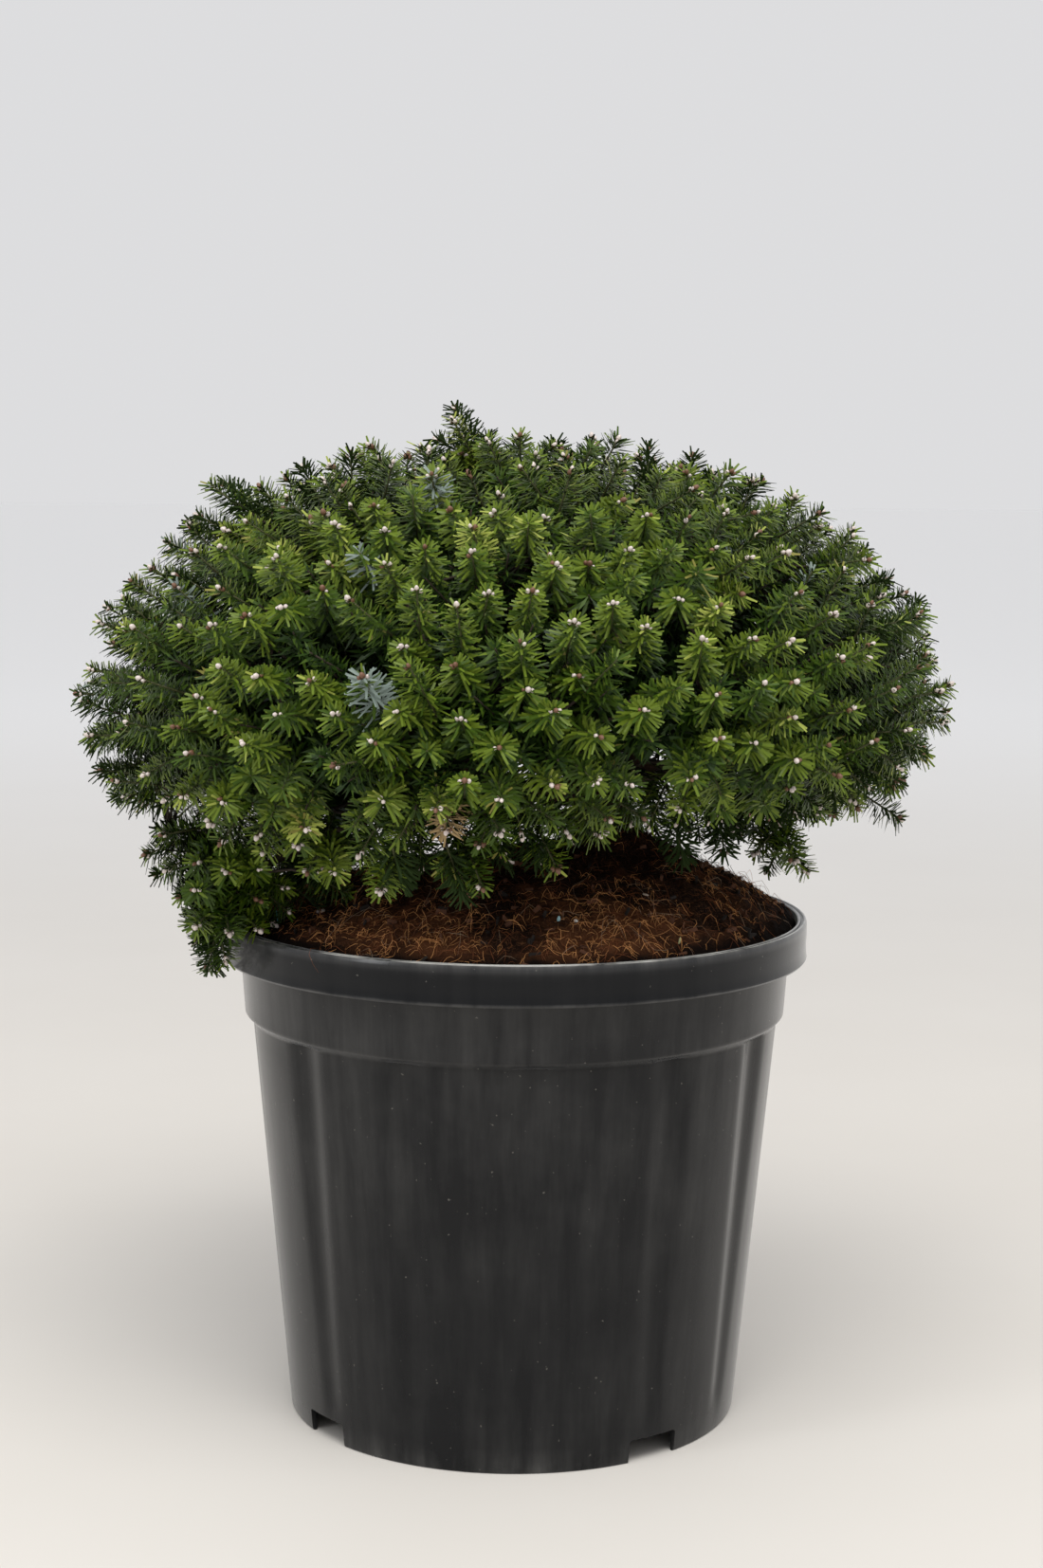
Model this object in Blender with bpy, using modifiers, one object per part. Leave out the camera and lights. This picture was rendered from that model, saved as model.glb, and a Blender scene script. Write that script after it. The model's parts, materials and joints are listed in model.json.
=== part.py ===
"""A dwarf Korean fir, clipped by nature into a wide cushion, in its round black nursery pot.

Metres, +Z up. The origin is the middle of the pot's underside, and -Y is the plant's front.
Pot, soil, trunk and boughs are single solids. Each foliage mass is one solid too: a stem that
leaves its bough, a small dense core, and twigs that branch out of it into bursts of needles.
Every mass keeps to its own cell of the crown, so that neighbours never touch.
"""
import math
import random

import bmesh
import bpy
from mathutils import Matrix, Vector

GAP = 0.0003                      # clearance between pieces that rest on each other

# Pot: radii and heights of its outline
RIM_R, RIM_TOP, RIM_BOTTOM = 0.1602, 0.2744, 0.2529
LIP_R = 0.1550                    # inside of the rim
BAND_TOP_R, BAND_R, BAND_BOTTOM = 0.1503, 0.1483, 0.2215
BODY_TOP_R, BODY_TOP = 0.1445, 0.2183
FOOT_R = 0.1237
WALL = 0.0025
FLOOR = 0.003                     # thickness of the underside's middle disc
DISC_R = 0.070                    # middle disc that stands on the ground with the foot
MOAT = 0.0135                     # height of the raised ring between disc and foot
BODY_MIDDLE = 0.110               # height of the seam ring half-way up the body
LEDGE = 0.0012                    # how far the ledge inside the band lies over the one outside
POT_STEPS, SOIL_STEPS = 48, 24
FLUTES = 12
FLUTE_DEPTH = 0.0016
FLUTE_START = math.radians(7.0)   # azimuth of one flute, from the front towards +X
NOTCH_WIDTH, NOTCH_HEIGHT = 0.029, 0.0130
NOTCH_START = math.radians(37.0)

# Soil: a mound that rises from the rim to the trunk
SOIL_EDGE, SOIL_PEAK = 0.2715, 0.3090
MOUND_POWER = 2.2
TRUNK_X = 0.053
FOOT_PLATE_R = 0.024              # level spot that the trunk stands on

# Trunk: its foot, and the way it goes from there with its radius at each point
TRUNK_FOOT = Vector((TRUNK_X, 0.0, SOIL_PEAK + GAP))
TRUNK_WAY = [Vector((0, 0, 0)), Vector((0, 0, 0.005)), Vector((-0.001, 0, 0.016)),
             Vector((-0.006, 0.001, 0.035)), Vector((-0.017, 0.003, 0.070)),
             Vector((-0.031, 0.001, 0.108)), Vector((-0.042, -0.001, 0.142))]
TRUNK_RADII = [0.0190, 0.0165, 0.0128, 0.0112, 0.0098, 0.0076, 0.0050]

# Crown: a dome over a waist, and a hem below it
HALF_WIDTH, HALF_DEPTH = 0.237, 0.222
WAIST_Z, DOME_HEIGHT = 0.400, 0.138
LEADER_R = 0.020                  # leading shoots reach out of the skin around these places
LEADERS = [Vector(place) for place in (
    (-0.033, -0.005, 0.537), (-0.156, -0.026, 0.503), (-0.192, 0.010, 0.452),
    (-0.220, 0.025, 0.350), (-0.178, -0.062, 0.318), (0.196, 0.000, 0.342),
    (0.146, -0.022, 0.315), (0.078, -0.066, 0.330), (0.080, 0.095, 0.328),
    (0.012, -0.140, 0.334), (-0.015, -0.105, 0.330), (-0.030, -0.150, 0.322),
    (-0.062, -0.142, 0.322), (-0.096, -0.125, 0.322), (-0.085, -0.095, 0.326),
    (-0.115, 0.075, 0.326), (-0.070, 0.120, 0.326))]
HEM_Z, HEM_SWING = 0.314, 0.016   # lowest at the front left and the back right
HEM_TURN = math.radians(50.0)
HEM_POWER = 2.6

# Tiers: number of masses, radius and height of their middles, radius and height of bough tips
# and the heights that their boughs leave the trunk at, in steps that keep neighbours apart
LOWER = {"count": 7, "start": -5.0, "r": 0.150, "z": 0.370, "tip_r": 0.078, "tip_z": 0.354,
         "leave": 0.341, "rise": 0.0085, "stride": 3}
UPPER = {"count": 5, "start": 20.0, "r": 0.098, "z": 0.464, "tip_r": 0.046, "tip_z": 0.440,
         "leave": 0.404, "rise": 0.0085, "stride": 2}
WEEPING_LEAVE = 0.332
TOP_MIDDLE = Vector((-0.006, -0.002, 0.500))
WEEPING_MIDDLE = Vector((-0.152, -0.064, 0.300))
WEEPING_SIZE = Vector((0.029, 0.042, 0.050))
WEEPING_TIP = Vector((-0.085, -0.032, 0.328))

# Twigs and needles
BOUGH_BASE_R, BOUGH_TIP_R = 0.0046, 0.0028
STEM_R, TWIG_R, TWIG_TIP_R = 0.0030, 0.0019, 0.0011
NEEDLE = 0.019                    # length of the needles that stand out of a shoot
STALK_R = {-1: 0.0018, 0: 0.0027, 1: 0.0024}
WHORL_STEP = 0.0085               # from one whorl of needles to the next
WHORL_SWING = (0.0, 0.70, -0.35)  # how far each whorl is turned from the one before
WHORL_LEAN = (0.25, 0.60, 1.30)   # how far its needles lean towards the bud
SHOOT_DEPTH = 0.017               # how far a shoot's middle whorl lies under the crown's skin
SPACING = 0.027                   # least distance between two shoots
FURTHEST = 0.130                  # no shoot grows further than this from its mass's middle
TRIALS = 900                      # directions tried for a mass's shoots
SHOOT_ROOM = 0.006                # least distance from a shoot's middle to its cell's sides
LIMB_ROOM = 0.002                 # least distance from needles and stalks to limbs
HUB_EVERY = 6                     # every sixth shoot has a side twig that leads towards it
LOBE_SCALE = 0.72                 # shoots of the hanging lobe are smaller
CELL_MARGIN = 0.0006
SKIN_LIMIT = 1.09
CORE_DEPTH = 0.034                # how far a core's face lies under the crown's skin
CORE_SIDE = 0.003                 # and from the sides of its cell
CORE_ROUGH = 0.15                 # share by which that depth varies
CORE_LEAST = 0.010                # least reach of a core
HUB_SHARE = 0.40                  # how far towards the skin a stem's side twigs end
SEED = 11

model = bpy.data.collections.new("korean_fir")
cutters = bpy.data.collections.new("cutters")


def clear_scene():
    for thing in list(bpy.data.objects):
        bpy.data.objects.remove(thing, do_unlink=True)
    for group in (model, cutters):
        bpy.context.scene.collection.children.link(group)


def finish(name, colour, roughness):
    paint = bpy.data.materials.new(name)
    paint.use_nodes = True
    shader = paint.node_tree.nodes["Principled BSDF"]
    shader.inputs["Base Color"].default_value = (*colour, 1.0)
    shader.inputs["Roughness"].default_value = roughness
    return paint


def add_object(name, data, paint, group=model):
    thing = bpy.data.objects.new(name, data)
    if paint:
        data.materials.append(paint)
    group.objects.link(thing)
    return thing


def evaluated_mesh(thing):
    """The object's mesh with its modifiers applied, as a new mesh."""
    bpy.context.view_layer.update()
    return bpy.data.meshes.new_from_object(thing.evaluated_get(bpy.context.evaluated_depsgraph_get()))


def heading(azimuth):
    """Level unit vector for an azimuth that runs from the front, -Y, towards +X."""
    return Vector((math.sin(azimuth), -math.cos(azimuth), 0.0))


def azimuth_of(x, y):
    return math.atan2(x, -y)


# ---------------------------------------------------------------- pot and soil

def turned(name, outline, steps):
    """A closed body of revolution from (radius, height) points, ends on the axis."""
    profile = bpy.data.meshes.new(name + "_outline")
    points = [(radius, 0.0, height) for radius, height in outline]
    profile.from_pydata(points, [(i, i + 1) for i in range(len(points) - 1)], [])
    thing = bpy.data.objects.new(name + "_outline", profile)
    model.objects.link(thing)
    screw = thing.modifiers.new("turn", "SCREW")
    screw.steps = screw.render_steps = steps
    screw.use_merge_vertices = True
    screw.merge_threshold = 0.00001
    mesh = evaluated_mesh(thing)
    bpy.data.objects.remove(thing)
    mesh.name = name
    return mesh


def body_radius(height):
    return FOOT_R + (BODY_TOP_R - FOOT_R) * height / BODY_TOP


def flute(mesh):
    """Presses the upright channels into the wall, deep under the band and fading downwards."""
    turn = FLUTE_START - math.pi / 2
    mesh.transform(Matrix.Rotation(turn, 4, "Z"))
    for vertex in mesh.vertices:
        x, y, z = vertex.co
        radius = math.hypot(x, y)
        if radius < 0.11 or not 0.02 < z < BODY_TOP + 2 * LEDGE:
            continue
        from_flute = (azimuth_of(x, y) - FLUTE_START) % (2 * math.pi / FLUTES)
        if min(from_flute, 2 * math.pi / FLUTES - from_flute) < math.pi / POT_STEPS:
            depth = FLUTE_DEPTH * min(1.0, z / BODY_TOP + 0.05)
            vertex.co.x *= 1 - depth / radius
            vertex.co.y *= 1 - depth / radius


def make_pot():
    paint = finish("black_plastic", (0.022, 0.023, 0.025), 0.42)
    low = MOAT + FLOOR
    outline = [
        (0.0, FLOOR), (DISC_R - 0.003, FLOOR), (DISC_R + 0.001, low),
        (body_radius(low) - WALL, low),
        (body_radius(BODY_MIDDLE) - WALL, BODY_MIDDLE),
        (BODY_TOP_R - WALL, BODY_TOP + LEDGE / 2), (BAND_R - WALL, BAND_BOTTOM + LEDGE),
        (BAND_TOP_R - WALL, RIM_BOTTOM + WALL), (LIP_R, RIM_BOTTOM + WALL + 0.001),
        (LIP_R, RIM_TOP - 0.0012), (LIP_R + 0.0015, RIM_TOP),
        (RIM_R - 0.0020, RIM_TOP - 0.0004), (RIM_R - 0.0004, RIM_TOP - 0.0025),
        (RIM_R, RIM_BOTTOM + 0.001), (RIM_R - 0.0006, RIM_BOTTOM), (BAND_TOP_R, RIM_BOTTOM),
        (BAND_R, BAND_BOTTOM), (BODY_TOP_R, BODY_TOP), (body_radius(BODY_MIDDLE), BODY_MIDDLE),
        (body_radius(0.002), 0.002), (FOOT_R - 0.0006, 0.0),
        (FOOT_R - WALL, 0.0), (FOOT_R - WALL + 0.0005, MOAT),
        (DISC_R + 0.004, MOAT), (DISC_R, 0.0), (0.0, 0.0),
    ]
    mesh = turned("pot", outline, POT_STEPS)
    flute(mesh)
    pot = add_object("pot", mesh, paint)
    for quarter in range(4):
        azimuth = NOTCH_START + quarter * math.pi / 2
        bpy.ops.mesh.primitive_cube_add(size=1.0)
        notch = bpy.context.object
        notch.name = f"notch_{quarter + 1}"
        for group in list(notch.users_collection):
            group.objects.unlink(notch)
        cutters.objects.link(notch)
        notch.data.transform(Matrix.Diagonal((0.030, NOTCH_WIDTH, NOTCH_HEIGHT, 1.0)))
        notch.location = heading(azimuth) * (FOOT_R + 0.002) + Vector((0, 0, NOTCH_HEIGHT / 2 - 0.0005))
        notch.rotation_euler = (0, 0, azimuth - math.pi / 2)
        notch.hide_render = True
        notch.display_type = "WIRE"
        cut = pot.modifiers.new(notch.name, "BOOLEAN")
        cut.operation = "DIFFERENCE"
        cut.solver = "EXACT"
        cut.object = notch
    return pot


def mound_height(radius):
    full = LIP_R - 0.0007
    return SOIL_EDGE + (SOIL_PEAK - SOIL_EDGE) * (1 - (radius / full) ** MOUND_POWER)


def make_soil():
    paint = finish("soil", (0.045, 0.022, 0.012), 0.95)
    low = MOAT + FLOOR + GAP
    edge = LIP_R - 0.0007
    wall, lift = WALL + 0.0010, 0.0006
    outline = [(0.0, SOIL_PEAK), (FOOT_PLATE_R, SOIL_PEAK)]
    outline += [(edge * share, mound_height(edge * share)) for share in (0.35, 0.55, 0.78)]
    outline += [
        (edge, SOIL_EDGE), (edge, RIM_BOTTOM + WALL + 0.001 + lift),
        (BAND_TOP_R - wall, RIM_BOTTOM + WALL + lift),
        (BAND_R - wall, BAND_BOTTOM + LEDGE + lift), (BODY_TOP_R - wall, BODY_TOP + LEDGE / 2 + lift),
        (body_radius(BODY_MIDDLE) - wall, BODY_MIDDLE), (body_radius(low) - wall, low),
        (DISC_R + 0.001, low), (DISC_R - 0.004, FLOOR + GAP), (0.0, FLOOR + GAP),
    ]
    mesh = turned("soil", outline, SOIL_STEPS)
    flute(mesh)
    for vertex in mesh.vertices:
        if vertex.co.z > SOIL_EDGE:
            radius = math.hypot(vertex.co.x, vertex.co.y)
            vertex.co.x += TRUNK_X * (1 - radius / edge)
    return add_object("soil", mesh, paint)


# ---------------------------------------------------------------- limbs

def limb(name, points, radii, sides, paint):
    """One tapering limb along the points, flat at both ends."""
    path = bpy.data.curves.new(name, "CURVE")
    path.dimensions = "3D"
    path.bevel_depth = 1.0
    path.bevel_resolution = sides // 2 - 2
    path.use_fill_caps = True
    spline = path.splines.new("POLY")
    spline.points.add(len(points) - 1)
    for knot, point, radius in zip(spline.points, points, radii):
        knot.co = (*point, 1.0)
        knot.radius = radius
    return add_object(name, path, paint)


def trunk_at(height):
    """Middle, direction and radius of the trunk at a height."""
    points = [TRUNK_FOOT + way for way in TRUNK_WAY]
    for a, b, r_a, r_b in zip(points, points[1:], TRUNK_RADII, TRUNK_RADII[1:]):
        if height <= b.z or b is points[-1]:
            share = (height - a.z) / (b.z - a.z)
            return a.lerp(b, share), (b - a).normalized(), r_a + (r_b - r_a) * share


def bough_points(leave_height, tip, arrive):
    """Way of a bough from the trunk's bark to its tip, square to the trunk where it leaves."""
    middle, along, _ = trunk_at(leave_height)
    radius = trunk_at(leave_height - BOUGH_BASE_R)[2]
    level = Vector((tip.x - middle.x, tip.y - middle.y, 0)).normalized()
    out = (level - level.dot(along) * along).normalized()
    start = middle + out * (radius + GAP)
    reach = (tip - start).length
    bend_a = start + out * (0.3 * reach)
    bend_b = tip - arrive * (0.3 * reach)
    points = [start, start + out * 0.004]
    for share in (0.35, 0.68):
        points.append(start * (1 - share) ** 3 + bend_a * (3 * share * (1 - share) ** 2)
                      + bend_b * (3 * share ** 2 * (1 - share)) + tip * share ** 3)
    return points + [tip - arrive * 0.004, tip]


# ---------------------------------------------------------------- crown space

def crown_level(point):
    """Below 1 inside the crown, 1 on its skin."""
    azimuth = azimuth_of(point.x, point.y)
    side = math.sin(azimuth) ** 2
    reach = HALF_DEPTH + (HALF_WIDTH - HALF_DEPTH) * side
    radius = math.hypot(point.x, point.y) / reach
    if point.z >= WAIST_Z:
        level = radius ** 2 + ((point.z - WAIST_Z) / DOME_HEIGHT) ** 2
    else:
        hem = HEM_Z - HEM_SWING * math.cos(2 * (azimuth + HEM_TURN))
        level = radius ** HEM_POWER + ((WAIST_Z - point.z) / (WAIST_Z - hem)) ** HEM_POWER
    return min([level] + [(point - leader).length / LEADER_R for leader in LEADERS])


def weeping_level(point):
    """Below 1 inside the crown, or inside the lobe that hangs from it past the rim on the left."""
    off = [(point[i] - WEEPING_MIDDLE[i]) / WEEPING_SIZE[i] for i in range(3)]
    level = math.sqrt(sum(value * value for value in off))
    beside_rim = math.hypot(point.x, point.y) - RIM_R
    if point.z < RIM_TOP + 0.004 and beside_rim < 0.003:
        level = 1.5
    return min(level, crown_level(point))


class Mass:
    """One foliage mass: its middle, its bough's tip, and the planes that bound its cell."""

    def __init__(self, name, middle, tip, arrive, level, leave=None):
        self.name, self.middle, self.tip, self.arrive = name, middle, tip, arrive
        self.level, self.leave = level, leave
        self.scale = LOBE_SCALE if level is weeping_level else 1.0
        self.planes = [(tip + arrive * GAP * 0.9, arrive)]

    def bound_by(self, other):
        if other is not self:
            away = (self.middle - other.middle).normalized()
            self.planes.append(((self.middle + other.middle) / 2, away))

    def room(self, point):
        """Distance from the point to the nearest plane of the cell."""
        return min((point - on).dot(inward) for on, inward in self.planes)

    def to_skin(self, direction, limit=0.35):
        """Distance from the middle to the crown's skin along a direction."""
        low, high = 0.0, limit
        for _ in range(26):
            mid = (low + high) / 2
            if self.level(self.middle + direction * mid) < 1:
                low = mid
            else:
                high = mid
        return low

    def to_side(self, direction):
        """Distance from the middle to the nearest side of the cell along a direction."""
        reach = 1.0
        for on, inward in self.planes:
            slope = direction.dot(inward)
            if slope < -1e-6:
                reach = min(reach, (on - self.middle).dot(inward) / slope)
        return reach


def tier(name, sizes):
    masses = []
    for index in range(sizes["count"]):
        out = heading(math.radians(sizes["start"]) + index * 2 * math.pi / sizes["count"])
        middle = out * sizes["r"] + Vector((0, 0, sizes["z"]))
        tip = out * sizes["tip_r"] + Vector((0, 0, sizes["tip_z"]))
        leave = sizes["leave"] + sizes["rise"] * (index * sizes["stride"] % sizes["count"])
        arrive = (middle - tip).normalized()
        masses.append(Mass(f"{name}_{index + 1}", middle, tip, arrive, crown_level, leave))
    return masses


def crown_masses():
    masses = tier("lower", LOWER) + tier("upper", UPPER)
    points = [TRUNK_FOOT + way for way in TRUNK_WAY]
    up = (points[-1] - points[-2]).normalized()
    masses.append(Mass("top", TOP_MIDDLE, points[-1], up, crown_level))
    arrive = (WEEPING_MIDDLE + Vector((0, 0, 0.012)) - WEEPING_TIP).normalized()
    masses.append(Mass("weeping", WEEPING_MIDDLE, WEEPING_TIP, arrive, weeping_level, WEEPING_LEAVE))
    for mass in masses:
        for other in masses:
            mass.bound_by(other)
    return masses


# ---------------------------------------------------------------- foliage

def turn_to(direction):
    return direction.to_track_quat("Z", "Y").to_matrix().to_4x4()


def twig(start, end, start_r, end_r, paint, group):
    """A three-sided twig from start to end."""
    bm = bmesh.new()
    along = end - start
    bmesh.ops.create_cone(bm, cap_ends=True, segments=3, radius1=start_r, radius2=end_r,
                          depth=along.length)
    mesh = bpy.data.meshes.new("twig")
    bm.transform(Matrix.Translation((start + end) / 2) @ turn_to(along.normalized()))
    bm.to_mesh(mesh)
    bm.free()
    return add_object("twig", mesh, paint, group)


def shoot(mass, root, at, along, draw, limbs):
    """A slim three-sided stalk out of root, with three whorls of needles that stand out of it.

    It starts as a sphere of three sides and four rings, whose poles become root and bud.
    Returns None where a needle would leave the mass's cell or touch a limb.
    """
    bm = bmesh.new()
    bmesh.ops.create_uvsphere(bm, u_segments=3, v_segments=4, radius=1.0)
    bearing = [face for face in bm.faces if face.calc_center_median().z > -0.6]
    for vertex in bm.verts:
        ring = round(vertex.co.z * 1.45)          # -1 root or rear ring, 0 middle, 1 front ring or bud
        if abs(vertex.co.z) < 0.9:
            level = Vector((vertex.co.x, vertex.co.y)).normalized() * STALK_R[ring]
            vertex.co = (level.x, level.y, ring * WHORL_STEP)
        else:
            vertex.co = (0, 0, 1.7 * WHORL_STEP if vertex.co.z > 0 else -2 * WHORL_STEP)
    tips = bmesh.ops.poke(bm, faces=bearing)["verts"]
    tips.sort(key=lambda tip: (round(tip.co.z, 4), math.atan2(tip.co.y, tip.co.x)))
    seats = [tip.co.copy() for tip in tips]
    for tip in tips:
        whorl = 0 if tip.co.z < 0 else 1 if tip.co.z < WHORL_STEP else 2
        swing = math.atan2(tip.co.y, tip.co.x) + WHORL_SWING[whorl]
        out = Vector((math.cos(swing), math.sin(swing), WHORL_LEAN[whorl])).normalized()
        tip.co += out * NEEDLE * draw.uniform(0.85, 1.12)
    spin = Matrix.Rotation(draw.uniform(0, math.tau), 4, "Z")
    place = Matrix.Translation(at) @ turn_to(along) @ spin @ Matrix.Scale(mass.scale, 4)
    bm.transform(place)
    bm.verts.ensure_lookup_table()
    min(bm.verts, key=lambda vertex: (vertex.co - at).dot(along)).co = root
    for tip, seat in zip(tips, seats):
        for _ in range(4):
            if not fits(mass, limbs, tip.co):
                tip.co = tip.co.lerp(place @ seat, 0.25)
    whole = all(fits(mass, limbs, vertex.co) for vertex in bm.verts)
    mesh = bpy.data.meshes.new("shoot") if whole else None
    if whole:
        bm.to_mesh(mesh)
    bm.free()
    return mesh


def fits(mass, limbs, point):
    inside = mass.room(point) > CELL_MARGIN and mass.level(point) < SKIN_LIMIT
    return inside and clear_of(limbs, point, LIMB_ROOM)


def clear_of(limbs, point, margin):
    for points, radii in limbs:
        for a, b, r_a, r_b in zip(points, points[1:], radii, radii[1:]):
            run = b - a
            share = min(1.0, max(0.0, (point - a).dot(run) / run.length_squared))
            if (point - a.lerp(b, share)).length < r_a + (r_b - r_a) * share + margin:
                return False
    return True


def core(mass, draw, paint, group):
    """The dense inside of a mass, clear of its cell's sides and of the crown's skin."""
    bm = bmesh.new()
    bmesh.ops.create_icosphere(bm, subdivisions=2, radius=1.0)
    for vertex in bm.verts:
        direction = vertex.co.normalized()
        skin, side = mass.to_skin(direction), mass.to_side(direction)
        reach = min(skin - CORE_DEPTH * draw.uniform(1 - CORE_ROUGH, 1 + CORE_ROUGH), side - CORE_SIDE)
        vertex.co = mass.middle + direction * max(CORE_LEAST, reach)
    mesh = bpy.data.meshes.new("core")
    bm.to_mesh(mesh)
    bm.free()
    return add_object("core", mesh, paint, group)


def shoot_places(mass, draw):
    """Places under the skin, at least SPACING apart, with the way each shoot points."""
    places = []
    trials = [(leader - mass.middle).normalized() for leader in LEADERS if mass.room(leader) > 0]
    trials += [Vector([draw.gauss(0, 1) for _ in range(3)]).normalized() for _ in range(TRIALS)]
    for direction in trials:
        reach = mass.to_skin(direction)
        if reach > FURTHEST * mass.scale or mass.to_side(direction) < reach:
            continue
        at = mass.middle + direction * (reach - SHOOT_DEPTH * mass.scale)
        crowded = any((at - old).length < SPACING * mass.scale for old, _ in places)
        if crowded or mass.room(at) < SHOOT_ROOM:
            continue
        out = Vector((at.x, at.y, 0)).normalized()
        lift = max(-0.5, min(1.6, (at.z - WAIST_Z) / 0.07 + 0.35))
        along = (out + Vector((0, 0, lift)) + direction * 0.6).normalized()
        places.append((at, along))
    return places


def make_mass(mass, limbs, paint):
    draw = random.Random(f"{SEED}-{mass.name}")
    loose = bpy.data.collections.new("loose_" + mass.name)
    bpy.context.scene.collection.children.link(loose)
    whole = core(mass, draw, paint, model)
    whole.name = "foliage_" + mass.name
    start = mass.tip + mass.arrive * GAP
    twig(start, mass.middle, STEM_R, TWIG_R, paint, loose)
    hubs = [mass.middle]
    places = shoot_places(mass, draw)
    for at, _ in places[::HUB_EVERY]:
        hubs.append(mass.middle.lerp(at, HUB_SHARE))
        twig(mass.middle, hubs[-1], TWIG_R, TWIG_TIP_R, paint, loose)
    for at, along in places:
        hub = min(hubs, key=lambda place: (place - at).length)
        root = hub.lerp(mass.middle, 0.2).lerp(at, 0.04)
        halfway = root.lerp(at, 0.5)
        if mass.level(halfway) < 1 and clear_of(limbs, halfway, LIMB_ROOM):
            needles = shoot(mass, root, at, along, draw, limbs)
            if needles:
                add_object("shoot", needles, None, loose)
    join = whole.modifiers.new("join", "BOOLEAN")
    join.operation = "UNION"
    join.operand_type = "COLLECTION"
    join.collection = loose
    for join.solver in ("MANIFOLD", "EXACT"):
        joined = evaluated_mesh(whole)
        if keep_outer_shell(joined):
            break
    whole.modifiers.clear()
    whole.data = joined
    for thing in list(loose.objects):
        bpy.data.objects.remove(thing)
    bpy.data.collections.remove(loose)
    return whole


def keep_outer_shell(mesh):
    """Drops loose scraps and the walls of sealed hollows; True if what stays is closed."""
    bm = bmesh.new()
    bm.from_mesh(mesh)
    shells, seen = [], set()
    for first in bm.faces:
        if first in seen:
            continue
        shell, waiting = [], [first]
        seen.add(first)
        while waiting:
            face = waiting.pop()
            shell.append(face)
            for edge in face.edges:
                fresh = [near for near in edge.link_faces if near not in seen]
                seen.update(fresh)
                waiting.extend(fresh)
        shells.append(shell)
    shells.sort(key=len)
    for shell in shells[:-1]:
        bmesh.ops.delete(bm, geom=shell, context="FACES")
    closed = all(len(edge.link_faces) == 2 for edge in bm.edges)
    bm.to_mesh(mesh)
    bm.free()
    return closed


def main():
    clear_scene()
    make_pot()
    make_soil()
    bark = finish("bark", (0.11, 0.06, 0.035), 0.9)
    green = finish("needles", (0.055, 0.12, 0.03), 0.55)
    trunk_points = [TRUNK_FOOT + way for way in TRUNK_WAY]
    limb("trunk", trunk_points, TRUNK_RADII, 12, bark)
    limbs = [(trunk_points, TRUNK_RADII)]
    masses = crown_masses()
    for mass in masses:
        if mass.leave is None:
            continue
        points = bough_points(mass.leave, mass.tip, mass.arrive)
        taper = [BOUGH_BASE_R + (BOUGH_TIP_R - BOUGH_BASE_R) * i / (len(points) - 1)
                 for i in range(len(points))]
        limb("bough_" + mass.name, points, taper, 6, bark)
        limbs.append((points, taper))
    for mass in masses:
        make_mass(mass, limbs, green)


main()
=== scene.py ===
# %% [markdown]
# # A dwarf Korean fir in its nursery pot
# The plant is a low, wide cushion of short shoots. Most of them end in resin-white buds, and all
# carry blunt, flat needles, glossy green above and duller beneath. It grows out of a mound of
# fibrous potting mix in a black, fluted nursery pot. Each cell below makes one piece or one finish.
# Metres, +Z up, the pot's underside at the origin, the plant's front towards -Y.

# %% Load the frame
import json
import math

import bpy
import numpy as np
from mathutils import Matrix, Vector, noise

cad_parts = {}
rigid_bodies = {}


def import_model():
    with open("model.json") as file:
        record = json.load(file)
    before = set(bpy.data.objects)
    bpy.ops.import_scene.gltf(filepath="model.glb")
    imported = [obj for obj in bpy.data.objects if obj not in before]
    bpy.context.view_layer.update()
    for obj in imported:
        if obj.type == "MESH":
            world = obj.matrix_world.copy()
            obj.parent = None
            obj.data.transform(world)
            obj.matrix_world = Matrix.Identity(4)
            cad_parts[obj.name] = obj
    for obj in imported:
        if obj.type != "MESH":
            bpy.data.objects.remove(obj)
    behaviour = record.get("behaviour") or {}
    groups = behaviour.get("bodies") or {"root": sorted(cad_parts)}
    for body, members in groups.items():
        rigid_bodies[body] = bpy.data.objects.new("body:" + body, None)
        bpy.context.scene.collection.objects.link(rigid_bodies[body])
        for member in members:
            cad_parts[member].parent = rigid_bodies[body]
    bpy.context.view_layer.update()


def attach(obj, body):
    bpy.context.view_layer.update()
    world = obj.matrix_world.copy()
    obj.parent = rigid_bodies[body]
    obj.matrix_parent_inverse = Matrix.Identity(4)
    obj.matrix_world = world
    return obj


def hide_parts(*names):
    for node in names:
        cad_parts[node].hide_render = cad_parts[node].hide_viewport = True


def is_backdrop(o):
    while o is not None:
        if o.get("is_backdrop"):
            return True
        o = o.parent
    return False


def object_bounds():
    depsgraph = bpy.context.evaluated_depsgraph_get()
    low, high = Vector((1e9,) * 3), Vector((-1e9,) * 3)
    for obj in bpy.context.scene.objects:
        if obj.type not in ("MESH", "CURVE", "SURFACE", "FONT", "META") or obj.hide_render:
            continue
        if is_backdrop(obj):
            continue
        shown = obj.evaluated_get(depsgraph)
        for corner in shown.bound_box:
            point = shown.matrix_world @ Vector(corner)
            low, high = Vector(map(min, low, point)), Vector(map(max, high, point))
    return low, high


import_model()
scene = bpy.context.scene

# %% [markdown]
# ## Camera, floor and light
# The plant stands on a pale floor in a white room, seen from a little above with a short
# telephoto lens. One broad lamp overhead gives the soft light that falls on the needles' upper
# sides and leaves the inside of the crown dark. A weaker one on the left lifts that side. The
# white surroundings are what the pot mirrors.

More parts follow.
